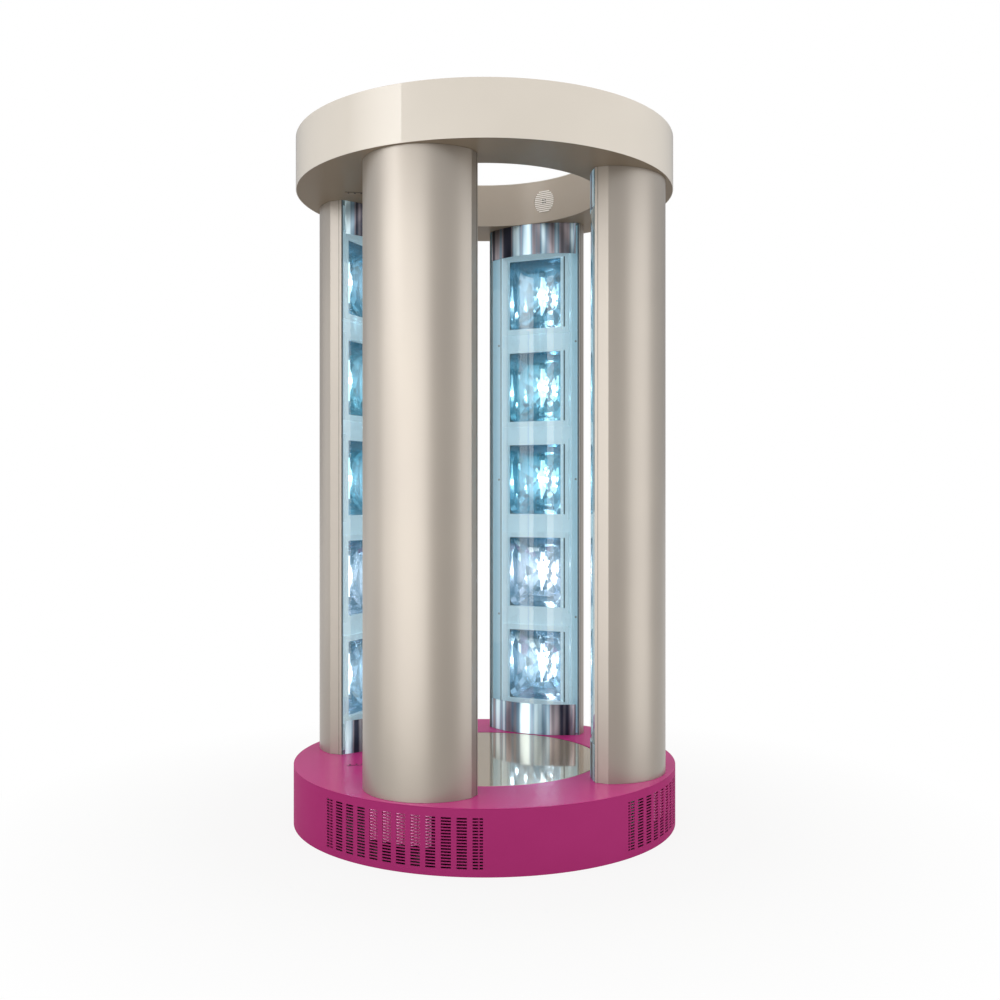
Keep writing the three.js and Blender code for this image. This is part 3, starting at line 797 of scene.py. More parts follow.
def rounded(outline: Sequence[Point], radius: float, steps: int = 3) -> list[Point]:
    """Rounds the corners of a closed outline, with a point beside each rounding that keeps the flats flat.

    Args:
        outline: The outline.
        radius: How far from a corner the rounding starts.
        steps: Straight steps in each rounding.

    Returns:
        The rounded outline.
    """
    points: list[Point] = []
    for i, here in enumerate(outline):
        corner = Vector(here)
        before = Vector(outline[i - 1]) - corner
        after = Vector(outline[(i + 1) % len(outline)]) - corner
        side = min(before.length, after.length)
        reach = min(radius, side * ROUNDING_SHARE)
        guard = min(reach * GUARD_REACH, side * GUARD_SHARE)
        start = corner + before.normalized() * reach
        end = corner + after.normalized() * reach
        spots = [corner + before.normalized() * guard]
        for k in range(steps + 1):
            t = k / steps
            spots.append(start * (1 - t) ** 2 + corner * 2 * t * (1 - t) + end * t**2)
        spots.append(corner + after.normalized() * guard)
        points += [(spot.x, spot.y) for spot in spots]
    return points


class GeometryTool(ABC):
    """A Geometry Nodes group with named inputs, run once for each piece and then left out."""

    INPUTS: dict[str, str] = {}  # for each input, the kind of its socket

    def __init__(self) -> None:
        """Makes the group with its inputs, its nodes and its output."""
        self.group = bpy.data.node_groups.new(type(self).__name__, "GeometryNodeTree")
        self.keys: dict[str, str] = {}
        for label, kind in {**self.INPUTS, "finish": "Material"}.items():
            socket = self.group.interface.new_socket(
                name=label, in_out="INPUT", socket_type=f"NodeSocket{kind}"
            )
            self.keys[label] = socket.identifier
        self.group.interface.new_socket(name="piece", in_out="OUTPUT", socket_type="NodeSocketGeometry")
        self.start = self.group.nodes.new("NodeGroupInput").outputs
        self.end(self.make())

    @abstractmethod
    def make(self) -> Socket:
        """Adds the nodes that make the piece.

        Returns:
            The geometry output.
        """

    @classmethod
    @cache
    def shared(cls) -> "GeometryTool":
        """Returns the one tool of its kind, made on first use."""
        return cls()

    def add(self, kind: str, links: Links | None = None, **settings: object) -> bpy.types.Node:
        """Adds one node to the group, as add_node does."""
        return add_node(self.group, kind, links, **settings)

    def chain(self, source: Socket, *steps: tuple[str, object]) -> Socket:
        """Runs a number through several sums.

        Args:
            source: The number.
            *steps: The operations and their second numbers.

        Returns:
            The result.
        """
        for operation, other in steps:
            source = self.add("ShaderNodeMath", {0: source, 1: other}, operation=operation).outputs[0]
        return source

    def end(self, geometry: Socket) -> None:
        """Closes the group with real geometry that wears the finish.

        Args:
            geometry: What has been made.
        """
        real = self.add("GeometryNodeRealizeInstances", {"Geometry": geometry})
        links = {"Geometry": real.outputs["Geometry"], "Material": self.start["finish"]}
        worn = self.add("GeometryNodeSetMaterial", links)
        self.add("NodeGroupOutput", {"piece": worn.outputs["Geometry"]})

    def run(
        self,
        name: str,
        finish: Finish,
        *nodes: str,
        sheet: float = 0.0,
        place: Matrix | None = None,
        crease: float = CREASE,
        **values: object,
    ) -> bpy.types.Object:
        """Makes one piece as a plain mesh and fixes it to the booth.

        Args:
            name: The piece's name.
            finish: What it wears.
            *nodes: The CAD nodes that it stands for.
            sheet: Thickness for geometry without thickness.
            place: Where the piece goes.
            crease: Angle in degrees above which an edge stays sharp.
            **values: The group's inputs; a Shape becomes a template object.

        Returns:
            The object.
        """
        obj = bpy.data.objects.new(name, bpy.data.meshes.new(name))
        bpy.context.scene.collection.objects.link(obj)
        maker = obj.modifiers.new(self.group.name, "NODES")
        maker.node_group = self.group
        templates: list[bpy.types.Object] = []
        for label, value in {**values, "finish": finish.material()}.items():
            if isinstance(value, Shape):
                value = value.bare(name + "_template")
                templates.append(value)
            maker[self.keys[label]] = value
        if sheet:
            solidify = obj.modifiers.new("sheet", "SOLIDIFY")
            solidify.thickness = sheet
            solidify.offset = -1.0
        settle(obj, finish, crease)
        for template in templates:
            bpy.data.objects.remove(template)
        if place is not None:
            obj.data.transform(place)
        mount(obj, finish, *nodes)
        return obj


class Stack(GeometryTool):
    """Repeats a template in a straight row."""

    INPUTS = {"template": "Object", "count": "Int", "first": "Vector", "step": "Vector"}

    def make(self) -> Socket:
        """Adds the row and its instances.

        Returns:
            The geometry output.
        """
        start = self.start
        links = {"Count": start["count"], "Start Location": start["first"], "Offset": start["step"]}
        row = self.add("GeometryNodeMeshLine", links, mode="OFFSET", count_mode="TOTAL")
        one = self.add("GeometryNodeObjectInfo", {"Object": start["template"]})
        links = {"Points": row.outputs["Mesh"], "Instance": one.outputs["Geometry"]}
        return self.add("GeometryNodeInstanceOnPoints", links).outputs["Instances"]


class RoundLouvres(GeometryTool):
    """Fills a circle in the YZ plane with level slats, each as long as the circle is wide there."""

    INPUTS = {"slat": "Object", "count": "Int", "radius": "Float", "pitch": "Float"}

    def make(self) -> Socket:
        """Adds the row of slats and their lengths.

        Returns:
            The geometry output.
        """
        count, pitch = self.start["count"], self.start["pitch"]
        below = self.chain(count, ("SUBTRACT", 1.0), ("MULTIPLY", pitch), ("MULTIPLY", -0.5))
        first = self.add("ShaderNodeCombineXYZ", {"Z": below})
        step = self.add("ShaderNodeCombineXYZ", {"Z": pitch})
        links = {
            "Count": count,
            "Start Location": first.outputs["Vector"],
            "Offset": step.outputs["Vector"],
        }
        row = self.add("GeometryNodeMeshLine", links, mode="OFFSET", count_mode="TOTAL")
        spot = self.add("GeometryNodeInputPosition")
        height = self.add("ShaderNodeSeparateXYZ", {"Vector": spot.outputs["Position"]}).outputs["Z"]
        share = self.chain(height, ("DIVIDE", self.start["radius"]), ("POWER", 2.0))
        rest = self.add("ShaderNodeMath", {0: 1.0, 1: share}, operation="SUBTRACT").outputs[0]
        length = self.chain(rest, ("POWER", 0.5))
        scale = self.add("ShaderNodeCombineXYZ", {"X": 1.0, "Y": length, "Z": 1.0})
        one = self.add("GeometryNodeObjectInfo", {"Object": self.start["slat"]})
        links = {
            "Points": row.outputs["Mesh"],
            "Instance": one.outputs["Geometry"],
            "Scale": scale.outputs["Vector"],
        }
        return self.add("GeometryNodeInstanceOnPoints", links).outputs["Instances"]


class VentDrum(GeometryTool):
    """A drum wall with a field of level slots in each quarter."""

    INPUTS = dict.fromkeys(
        ("radius", "top", "columns", "rows", "slot_width", "slot_height", "pitch", "margin", "quarter",
         "first", "last"), "Float",
    )
    CELLS = 6.0  # cells across a column of slots: a web, four of slot, and a web
    NUDGE = 0.01  # keeps whole numbers from rounding down
    WELD = 0.05 * MM  # corners nearer than this become one

    def make(self) -> Socket:
        """Adds the flat grid, cuts the slots and bends it round the axis.

        Returns:
            The geometry output.
        """
        start = self.start
        across = self.chain(start["columns"], ("MULTIPLY", self.CELLS))
        levels = self.chain(start["rows"], ("MULTIPLY", 2.0), ("ADD", 1.0))
        links = {
            "Size X": across,
            "Size Y": levels,
            "Vertices X": self.chain(across, ("ADD", 1.0)),
            "Vertices Y": self.chain(levels, ("ADD", 1.0)),
        }
        grid = self.add("GeometryNodeMeshGrid", links).outputs["Mesh"]
        spot = self.add("GeometryNodeInputPosition")
        flat = self.add("ShaderNodeSeparateXYZ", {"Vector": spot.outputs["Position"]})
        cell = self.chain(across, ("MULTIPLY", 0.5), ("ADD", flat.outputs["X"]), ("ADD", self.NUDGE))
        level = self.chain(levels, ("MULTIPLY", 0.5), ("ADD", flat.outputs["Y"]), ("ADD", self.NUDGE))
        links = {"Geometry": grid, "Selection": self.slots(cell, level)}
        cut = self.add("GeometryNodeDeleteGeometry", links, domain="FACE")
        links = {"Geometry": cut.outputs["Geometry"], "Position": self.bent(cell, level, levels)}
        bent = self.add("GeometryNodeSetPosition", links)
        links = {"Geometry": bent.outputs["Geometry"], "Distance": self.WELD}
        return self.add("GeometryNodeMergeByDistance", links).outputs["Geometry"]

    def slots(self, cell: Socket, level: Socket) -> Socket:
        """Finds the faces where slots go.

        Args:
            cell: Number of the cell round the drum.
            level: Number of the level up the drum.

        Returns:
            1 in a slot and 0 elsewhere.
        """
        part = self.chain(cell, ("MODULO", self.CELLS))
        half = self.CELLS / 2
        inside = self.chain(part, ("SUBTRACT", half), ("ABSOLUTE", 0.0), ("LESS_THAN", half - 1))
        column = self.chain(cell, ("DIVIDE", self.CELLS), ("FLOOR", 0.0), ("MODULO", self.start["quarter"]))
        after = self.chain(column, ("ADD", 0.5), ("GREATER_THAN", self.start["first"]))
        before = self.chain(column, ("SUBTRACT", 0.5), ("LESS_THAN", self.start["last"]))
        odd = self.chain(level, ("FLOOR", 0.0), ("MODULO", 2.0))
        return self.chain(inside, ("MULTIPLY", after), ("MULTIPLY", before), ("MULTIPLY", odd))

    def bent(self, cell: Socket, level: Socket, levels: Socket) -> Socket:
        """Finds where each corner of the grid goes.

        Args:
            cell: Number of the corner round the drum.
            level: Number of the corner up the drum.
            levels: Number of the top corners.

        Returns:
            The position.
        """
        start = self.start
        share = {0: 2 * math.pi, 1: start["columns"]}
        turn = self.add("ShaderNodeMath", share, operation="DIVIDE").outputs[0]
        pitch = self.chain(turn, ("MULTIPLY", start["radius"]))
        web = self.chain(pitch, ("SUBTRACT", start["slot_width"]), ("MULTIPLY", 0.5))
        part = self.chain(cell, ("MODULO", self.CELLS), ("FLOOR", 0.0))
        quarter = self.chain(start["slot_width"], ("DIVIDE", self.CELLS - 2))
        along = self.chain(part, ("SUBTRACT", 1.0), ("MULTIPLY", quarter), ("ADD", web))
        past = self.chain(part, ("GREATER_THAN", 0.5), ("MULTIPLY", along), ("DIVIDE", pitch))
        angle = self.chain(cell, ("DIVIDE", self.CELLS), ("FLOOR", 0.0), ("ADD", past), ("MULTIPLY", turn))
        across = self.chain(angle, ("SINE", 0.0), ("MULTIPLY", start["radius"]))
        back = self.chain(angle, ("COSINE", 0.0), ("MULTIPLY", start["radius"]), ("MULTIPLY", -1.0))
        row = self.chain(level, ("SUBTRACT", 1.0))
        rise = self.chain(row, ("DIVIDE", 2.0), ("FLOOR", 0.0), ("MULTIPLY", start["pitch"]))
        slot = self.chain(row, ("MODULO", 2.0), ("FLOOR", 0.0), ("MULTIPLY", start["slot_height"]))
        height = self.chain(rise, ("ADD", slot), ("ADD", start["margin"]))
        above = self.chain(level, ("GREATER_THAN", 0.5), ("MULTIPLY", height))
        last = self.chain(level, ("GREATER_THAN", self.chain(levels, ("SUBTRACT", 0.5))))
        links = {"Switch": last, "False": above, "True": start["top"]}
        capped = self.add("GeometryNodeSwitch", links, input_type="FLOAT")
        links = {"X": across, "Y": back, "Z": capped.outputs["Output"]}
        return self.add("ShaderNodeCombineXYZ", links).outputs["Vector"]


def screw_head(radius: float) -> Shape:
    """Makes a low domed screw head with a round socket, its axis along +X."""
    outline = [(across * radius, up * radius) for across, up in SCREW_PROFILE]
    return Shape.turned(outline, SCREW_SIDES).moved(LYING)


@dataclass(frozen=True)
class Base:
    """The magenta drum: slotted skirt, deck, well wall, ribs and the works inside."""

    vent_columns: int = 88  # columns of slots round the whole drum, if it had them everywhere
    field: tuple[int, int] = (5, 16)  # first and last column of each quarter that has slots
    vent_rows: int = 17  # slots above each other
    slot: Point = (30.5 * MM, 5.5 * MM)  # width and height of a slot
    pitch: float = 9.0 * MM  # distance between rows
    margin: float = 23 * MM  # skirt below the lowest row
    deck: float = 2 * MM  # thickness of the deck
    edge: float = 1.2 * MM  # rounding of the folded edges
    pan_top: float = 4.3 * MM  # height at which what stands on the pan begins
    well_sheet: float = 3 * MM  # thickness of the well's wall
    rib: Point = (10 * MM, 5 * MM)  # depth and width of a stiffening rib
    rib_gap: float = 0.1 * MM  # space between a rib and the skirt
    rib_turn: float = 22.75  # degrees from the middle of a vent field to the ribs at its ends

    @property
    def wall_top(self) -> float:
        """Returns the height at which skirt, ribs and well wall end under the deck."""
        return PLAN.base_height - self.deck - PLAN.gap

    def build(self) -> None:
        """Builds the drum and dresses what stands inside it."""
        self.build_skirt()
        self.build_deck()
        self.build_ribs()
        FixingStrip("deck", -94.0, PLAN.base_height, 1, TOP_LIT_MAGENTA).build()
        FixingStrip("soffit", -101.5, PLAN.canopy_bottom, -1, SHADED_CHAMPAGNE).build()
        for node in ("base_pan", "platform_bearing", "bearing_pedestal", "drive_motor", "platform_hub",
                     "ballast_bank_left", "ballast_bank_right"):
            dress(node, ZINC)
        dress("control_box", PLASTIC)
        dress("drive_roller", RUBBER)

    def build_skirt(self) -> None:
        """Builds the slotted wall."""
        first, last = self.field
        width, height = self.slot
        VentDrum.shared().run(
            "base_skirt_wall", MAGENTA, "base_skirt", sheet=PLAN.sheet, radius=PLAN.base_radius,
            top=self.wall_top, columns=float(self.vent_columns), rows=float(self.vent_rows), slot_width=width,
            slot_height=height, pitch=self.pitch, margin=self.margin, quarter=float(self.vent_columns / 4),
            first=float(first), last=float(last),
        )

    def build_deck(self) -> None:
        """Builds the deck with its rolled edges, and the well's wall."""
        inner, high = PLAN.well_radius, PLAN.base_height
        deck = rounded(oblong((inner, high - self.deck), (PLAN.base_radius, high)), self.edge)
        Shape.turned(deck).show("base_deck_plate", TOP_LIT_MAGENTA, "base_deck")
        wall = oblong((inner, self.pan_top), (inner + self.well_sheet, self.wall_top))
        Shape.turned(wall).show("well_wall_sheet", MAGENTA, "well_wall")

    def build_ribs(self) -> None:
        """Builds the stiffening ribs that show behind the end columns of each vent field."""
        depth, width = self.rib
        face = PLAN.base_radius - PLAN.sheet - self.rib_gap
        rib = Shape.block((face - depth, -width / 2, self.pan_top), (face, width / 2, self.wall_top))
        turns = [bearing + side * self.rib_turn for bearing in COLUMN_BEARINGS.values() for side in (-1, 1)]
        Shape.together([rib.moved(facing(turn)) for turn in turns]).show("skirt_ribs", MAGENTA)


@dataclass(frozen=True)
class FixingStrip:
    """A screwed strip with a rubber lip, beside the rear left column."""

    name: str  # what it is fixed to
    bearing: float  # where it lies
    height: float  # height of the face that it lies against
    side: int  # 1 above that face, -1 below it
    finish: Finish  # what the strip wears
    reach: Point = (410 * MM, 484 * MM)  # its ends, from the booth's axis
    width: float = 24 * MM  # its width
    lip: Point = (0.2 * MM, 3.4 * MM)  # sides of the rubber lip, from the strip's edge
    sheet: float = 0.8 * MM  # thickness of strip and lip
    edge: float = 0.3 * MM  # rounding of the strip
    lip_edge: float = 0.2 * MM  # rounding of the lip
    screw: float = 3.4 * MM  # radius of a screw's head
    screw_count: int = 3  # number of screws
    # First screw from the axis, from the strip's edge, and off the face
    screw_spot: Triple = (428 * MM, -8 * MM, 1.1 * MM)
    screw_pitch: float = 22 * MM  # distance between screws

    def build(self) -> None:
        """Builds the strip, its lip and its screws."""
        place = facing(self.bearing, 0.0, self.height)
        low, high = sorted((0.0, self.side * self.sheet))
        near, far = self.reach
        strip = Shape.block((near, -self.width, low), (far, 0, high)).moved(place)
        strip.show(f"{self.name}_fixing_strip", self.finish, bevel=self.edge)
        lip = Shape.block((near, self.lip[0], low), (far, self.lip[1], high)).moved(place)
        lip.show(f"{self.name}_fixing_seal", RUBBER, bevel=self.lip_edge)
        head = screw_head(self.screw).moved(Matrix.Rotation(math.radians(-90 * self.side), 4, "Y"))
        along, across, off = self.screw_spot
        Stack.shared().run(
            f"{self.name}_fixing_screws", RUBBER, template=head, count=self.screw_count,
            first=(along, across, self.side * off), step=(self.screw_pitch, 0, 0), place=place,
        )


@dataclass(frozen=True)
class Platform:
    """The polished standing platform, which turns."""

    radius: float = 400 * MM  # outside of the disc
    top: float = 199 * MM  # height of the standing surface
    thickness: float = 4 * MM  # thickness of the plate and of its rim
    rim_bottom: float = 169 * MM  # lowest edge of the rim
    edge: float = 1.5 * MM  # bevel of the top edge

    def build(self) -> None:
        """Builds the disc with its turned-down rim."""
        under, inner = self.top - self.thickness, self.radius - self.thickness
        rim = [(inner, self.rim_bottom), (self.radius, self.rim_bottom)]
        bevel = [(self.radius, self.top - self.edge), (self.radius - self.edge, self.top)]
        section = [(0.0, under), (inner, under), *rim, *bevel, (0.0, self.top)]
        Shape.turned(section).show("platform_plate", STEEL, "platform_disc", body="platform")


@dataclass(frozen=True)
class Column:
    """One lamp column: shell, window and bands, with the lamp frame and the lamps inside."""

    SHELL_STEPS = 72  # straight steps round the shell
    BEND_STEPS = 48  # straight steps in each radian of the window's bend

    name: str  # which column it is
    bearing: float  # where it stands
    shell_radius: float = 202 * MM  # outside of the shell
    shell_sheet: float = 2 * MM  # thickness of the shell
    shell_edge: float = 0.5 * MM  # rounding of the shell's edges
    shell_crease: float = 15.0  # angle in degrees above which the shell's edges stay sharp
    jamb_half: float = 187.5 * MM  # outer faces of the jambs, from the middle
    jamb_edge: float = 30 * MM  # inner edges of the jambs
    seam: Point = (9.6 * MM, 10.8 * MM)  # sides of a jamb's seam, from the jamb's edge
    seam_skin: Point = (-0.2 * MM, 0.4 * MM)  # back and front of the seam, from the jamb's face
    window_half: float = 185.2 * MM  # half the window's width
    window_radius: float = 303.7 * MM  # outside of the window
    window_centre: float = 273.7 * MM  # centre of the window's bend
    window_sheet: float = 4 * MM  # thickness of the window
    seal_reach: Point = (1 * MM, 6 * MM)  # sides of a window's seal, from the window's edge
    seal_skin: Point = (0.05 * MM, 0.25 * MM)  # back and front of the seal, from the window's face
    band_height: float = 116 * MM  # height of the brushed bands
    band_inset: float = 12 * MM  # band's ends inside the window's edges
    band_sheet: float = 1.5 * MM  # thickness of the bands
    band_edge: float = 0.4 * MM  # rounding of the bands' edges

    @property
    def place(self) -> Matrix:
        """Returns the matrix from the column's frame to the booth's."""
        return facing(self.bearing, PLAN.column_radius)

    @property
    def ends(self) -> Point:
        """Returns the heights of the column's bottom and top."""
        return PLAN.base_height + PLAN.gap, PLAN.canopy_bottom - PLAN.gap

    def add(
        self, piece: str, shape: Shape, finish: Finish, *nodes: str, bevel: float = 0.0,
        crease: float = CREASE,
    ) -> None:
        """Adds one piece, its shape in the column's frame and its nodes without the column's name."""
        full = [f"{self.name}_{node}" for node in nodes]
        shape.moved(self.place).show(f"{self.name}_{piece}", finish, *full, bevel=bevel, crease=crease)

    def repeat(
        self, piece: str, shape: Shape, finish: Finish, *nodes: str, sheet: float = 0.0,
        crease: float = CREASE,
    ) -> None:
        """Adds one piece that is repeated at each lamp.

        Args:
            piece: What it is.
            shape: The shape at one lamp, its height measured from the lamp's middle.
            finish: What it wears.
            *nodes: The CAD nodes that it stands for, without the column's name.
            sheet: Thickness for a shape without thickness.
            crease: Angle in degrees above which an edge stays sharp.
        """
        obj = Stack.shared().run(
            f"{self.name}_{piece}", finish, *(f"{self.name}_{node}" for node in nodes), sheet=sheet,
            place=self.place, crease=crease, template=shape, count=PLAN.lamp_count,
            first=(0, 0, PLAN.lowest_lamp), step=(0, 0, PLAN.lamp_pitch),
        )
        obj.visible_diffuse = not isinstance(finish, Glow)

    def build(self) -> None:
        """Builds the whole column."""
        self.build_shell()
        self.build_window()
        self.build_bands()
        LampFrame(self).build()
        Lamp(self).build()

    def build_shell(self) -> None:
        """Builds the rolled shell with its flat jambs, and the seams along the jambs."""
        outer_turn = math.asin(self.jamb_half / self.shell_radius)
        inner_radius = self.shell_radius - self.shell_sheet
        inner_half = self.jamb_half - self.shell_sheet
        inner_turn = math.asin(inner_half / inner_radius)
        outline = [(self.jamb_edge, -self.jamb_half)]
        outline += arc((0, 0), self.shell_radius, -outer_turn, outer_turn, self.SHELL_STEPS)
        outline += [(self.jamb_edge, self.jamb_half), (self.jamb_edge, inner_half)]
        outline += arc((0, 0), inner_radius, inner_turn, -inner_turn, self.SHELL_STEPS)
        outline += [(self.jamb_edge, -inner_half)]
        shell = Shape.raised(outline, *self.ends)
        self.add("shell_skin", shell, CHAMPAGNE, "shell", bevel=self.shell_edge, crease=self.shell_crease)
        low, high = self.ends
        near, far = (self.jamb_edge + reach for reach in self.seam)
        seams: list[Shape] = []
        for side in (-1, 1):
            inner, outer = sorted(side * (self.jamb_half + skin) for skin in self.seam_skin)
            seams.append(Shape.block((near, inner, low), (far, outer, high)))
        self.add("jamb_seams", Shape.together(seams), RUBBER)

    def bent(self, outer: float, inner: float, start: float, end: float, low: float, high: float) -> Shape:
        """Makes a sheet bent round the window's centre.

        Args:
            outer: Outer radius.
            inner: Inner radius.
            start: First angle from the middle, in radians.
            end: Last angle from the middle, in radians.
            low: Bottom of the sheet.
            high: Top of the sheet.

        Returns:
            The sheet.
        """
        centre = (self.window_centre, 0.0)
        steps = max(2, round(abs(end - start) * self.BEND_STEPS))
        outline = arc(centre, outer, math.pi + start, math.pi + end, steps)
        outline += arc(centre, inner, math.pi + end, math.pi + start, steps)
        return Shape.raised(outline, low, high)

    def turn(self, inset: float) -> float:
        """Returns the angle in radians from the window's middle to an inset from its edge."""
        return math.asin((self.window_half - inset) / self.window_radius)

    def build_window(self) -> None:
        """Builds the clear front and the thin seal along each of its sides."""
        edge, inner = self.turn(0.0), self.window_radius - self.window_sheet
        window = self.bent(self.window_radius, inner, -edge, edge, *self.ends)
        self.add("window_sheet", window, ACRYLIC, "window")
        far, near = (self.turn(inset) for inset in self.seal_reach)
        under, over = (self.window_radius + skin for skin in self.seal_skin)
        seals = [self.bent(over, under, *span, *self.ends) for span in ((near, far), (-far, -near))]
        self.add("window_seals", Shape.together(seals), SILICONE)

    def build_bands(self) -> None:
        """Builds the two brushed bands on the window's ends."""
        low, high = self.ends
        edge = self.turn(self.band_inset)
        inner = self.window_radius + PLAN.gap
        for name, bottom, top in (
            ("lower_band", low, low + self.band_height),
            ("upper_band", high - self.band_height, high),
        ):
            band = self.bent(inner + self.band_sheet, inner, -edge, edge, bottom, top)
            self.add(f"{name}_sheet", band, ALUMINIUM, name, bevel=self.band_edge)


@dataclass(frozen=True)
class LampFrame:
    """The pale frame before a column's lamps: plate, bezels, clip strips, dark strips painted as shade beside
    the panes, and screws.
    """

    column: Column  # the column that it stands in
    front: float = 62 * MM  # front of the plate
    sheet: float = 3 * MM  # thickness of the plate and of its folds
    fold: float = 144 * MM  # folds from the middle
    fold_rise: float = 5 * MM  # how far the folds stand before the plate
    rim: float = 21 * MM  # width of a bezel
    rise: float = 17 * MM  # how far the bezels stand before the plate
    seam: Point = (6 * MM, 9 * MM)  # sides of the plate's seam, from the fold
    seam_rise: float = 0.3 * MM  # how far the seam stands before the plate
    clip: float = 17 * MM  # width of the strip that clips a pane
    clip_inset: float = 0.3 * MM  # how far it lies behind the plate's front
    seal: Point = (2 * MM, 7 * MM)  # sides of the dark strip painted as shade beside a pane, outwards of the opening
    shade_strip_rise: float = 0.4 * MM  # how far that dark strip stands before the bezel
    screw: float = 4 * MM  # radius of a screw's head
    screw_count: int = 3  # screws on each side
    # Lowest screws before the plate, from the middle, and above the floor
    screw_spot: Triple = (0.5 * MM, 160 * MM, 645 * MM)
    screw_pitch: float = 530 * MM  # distance between screws

    def build(self) -> None:
        """Builds the frame from its plate to its screws."""
        low, high = self.column.ends
        front, edge, tall = self.front, -PLAN.opening[0] / 2, PLAN.opening[1] / 2
        self.column.add("lamp_frame_plate", self.plate(), FRAME_WHITE, "lamp_frame")
        self.column.repeat("bezels", self.bezel(), FRAME_WHITE)
        near, far = (self.fold + side for side in self.seam)
        seam = Shape.block((front - self.seam_rise, near, low), (front, far, high))
        self.column.add("frame_seam", seam, RUBBER)
        near, far = front + self.clip_inset, front + self.sheet
        clip = Shape.block((near, edge, -tall), (far, edge + self.clip, tall))
        self.column.repeat("pane_clips", clip, FRAME_WHITE)
        # A dark rubber strip on each bezel, painted shade beside the pane
        face, (near, far) = front - self.rise, self.seal
        seal = Shape.block((face - self.shade_strip_rise, edge - far, -tall), (face, edge - near, tall))
        self.column.repeat("pane_seals", seal, RUBBER)
        self.build_screws()

    def plate(self) -> Shape:
        """Makes the plate, in bars that meet at the openings, with a fold along each side.

        Returns:
            The plate.
        """
        low, high = self.column.ends
        front, back, half = self.front, self.front + self.sheet, self.column.window_half
        across, tall = PLAN.opening[0] / 2, PLAN.opening[1] / 2
        bars = [
            Shape.block((front, -half, low), (back, -across, high)),
            Shape.block((front, across, low), (back, half, high)),
        ]
        bottom = low
        for i in range(PLAN.lamp_count + 1):
            middle = PLAN.lowest_lamp + i * PLAN.lamp_pitch
            top = middle - tall if i < PLAN.lamp_count else high
            bars.append(Shape.block((front, -across, bottom), (back, across, top)))
            bottom = middle + tall
        for side in (-1, 1):
            inner, outer = sorted((side * self.fold, side * (self.fold + self.sheet)))
            bars.append(Shape.block((front - self.fold_rise, inner, low), (front, outer, high)))
        return Shape.together(bars)

    def bezel(self) -> Shape:
        """Makes the raised rim round one opening.

        Returns:
            The rim, in four bars.
        """
        across, tall = PLAN.opening[0] / 2, PLAN.opening[1] / 2
        wide, high = across + self.rim, tall + self.rim
        spans = ((-wide, -high, -across, high), (across, -high, wide, high))
        spans += ((-across, -high, across, -tall), (-across, tall, across, high))
        face = self.front - self.rise
        return Shape.together([Shape.block((face, a, b), (self.front, c, d)) for a, b, c, d in spans])

    def build_screws(self) -> None:
        """Builds a row of screws along each side of the plate."""
        head = screw_head(self.screw).moved(Matrix.Rotation(math.pi, 4, "Z"))
        off, across, up = self.screw_spot
        for label, side in (("left", -1), ("right", 1)):
            Stack.shared().run(
                f"{self.column.name}_frame_screws_{label}", ZINC, template=head, count=self.screw_count,
                first=(self.front - off, side * across, up), step=(0, 0, self.screw_pitch),
                place=self.column.place,
            )


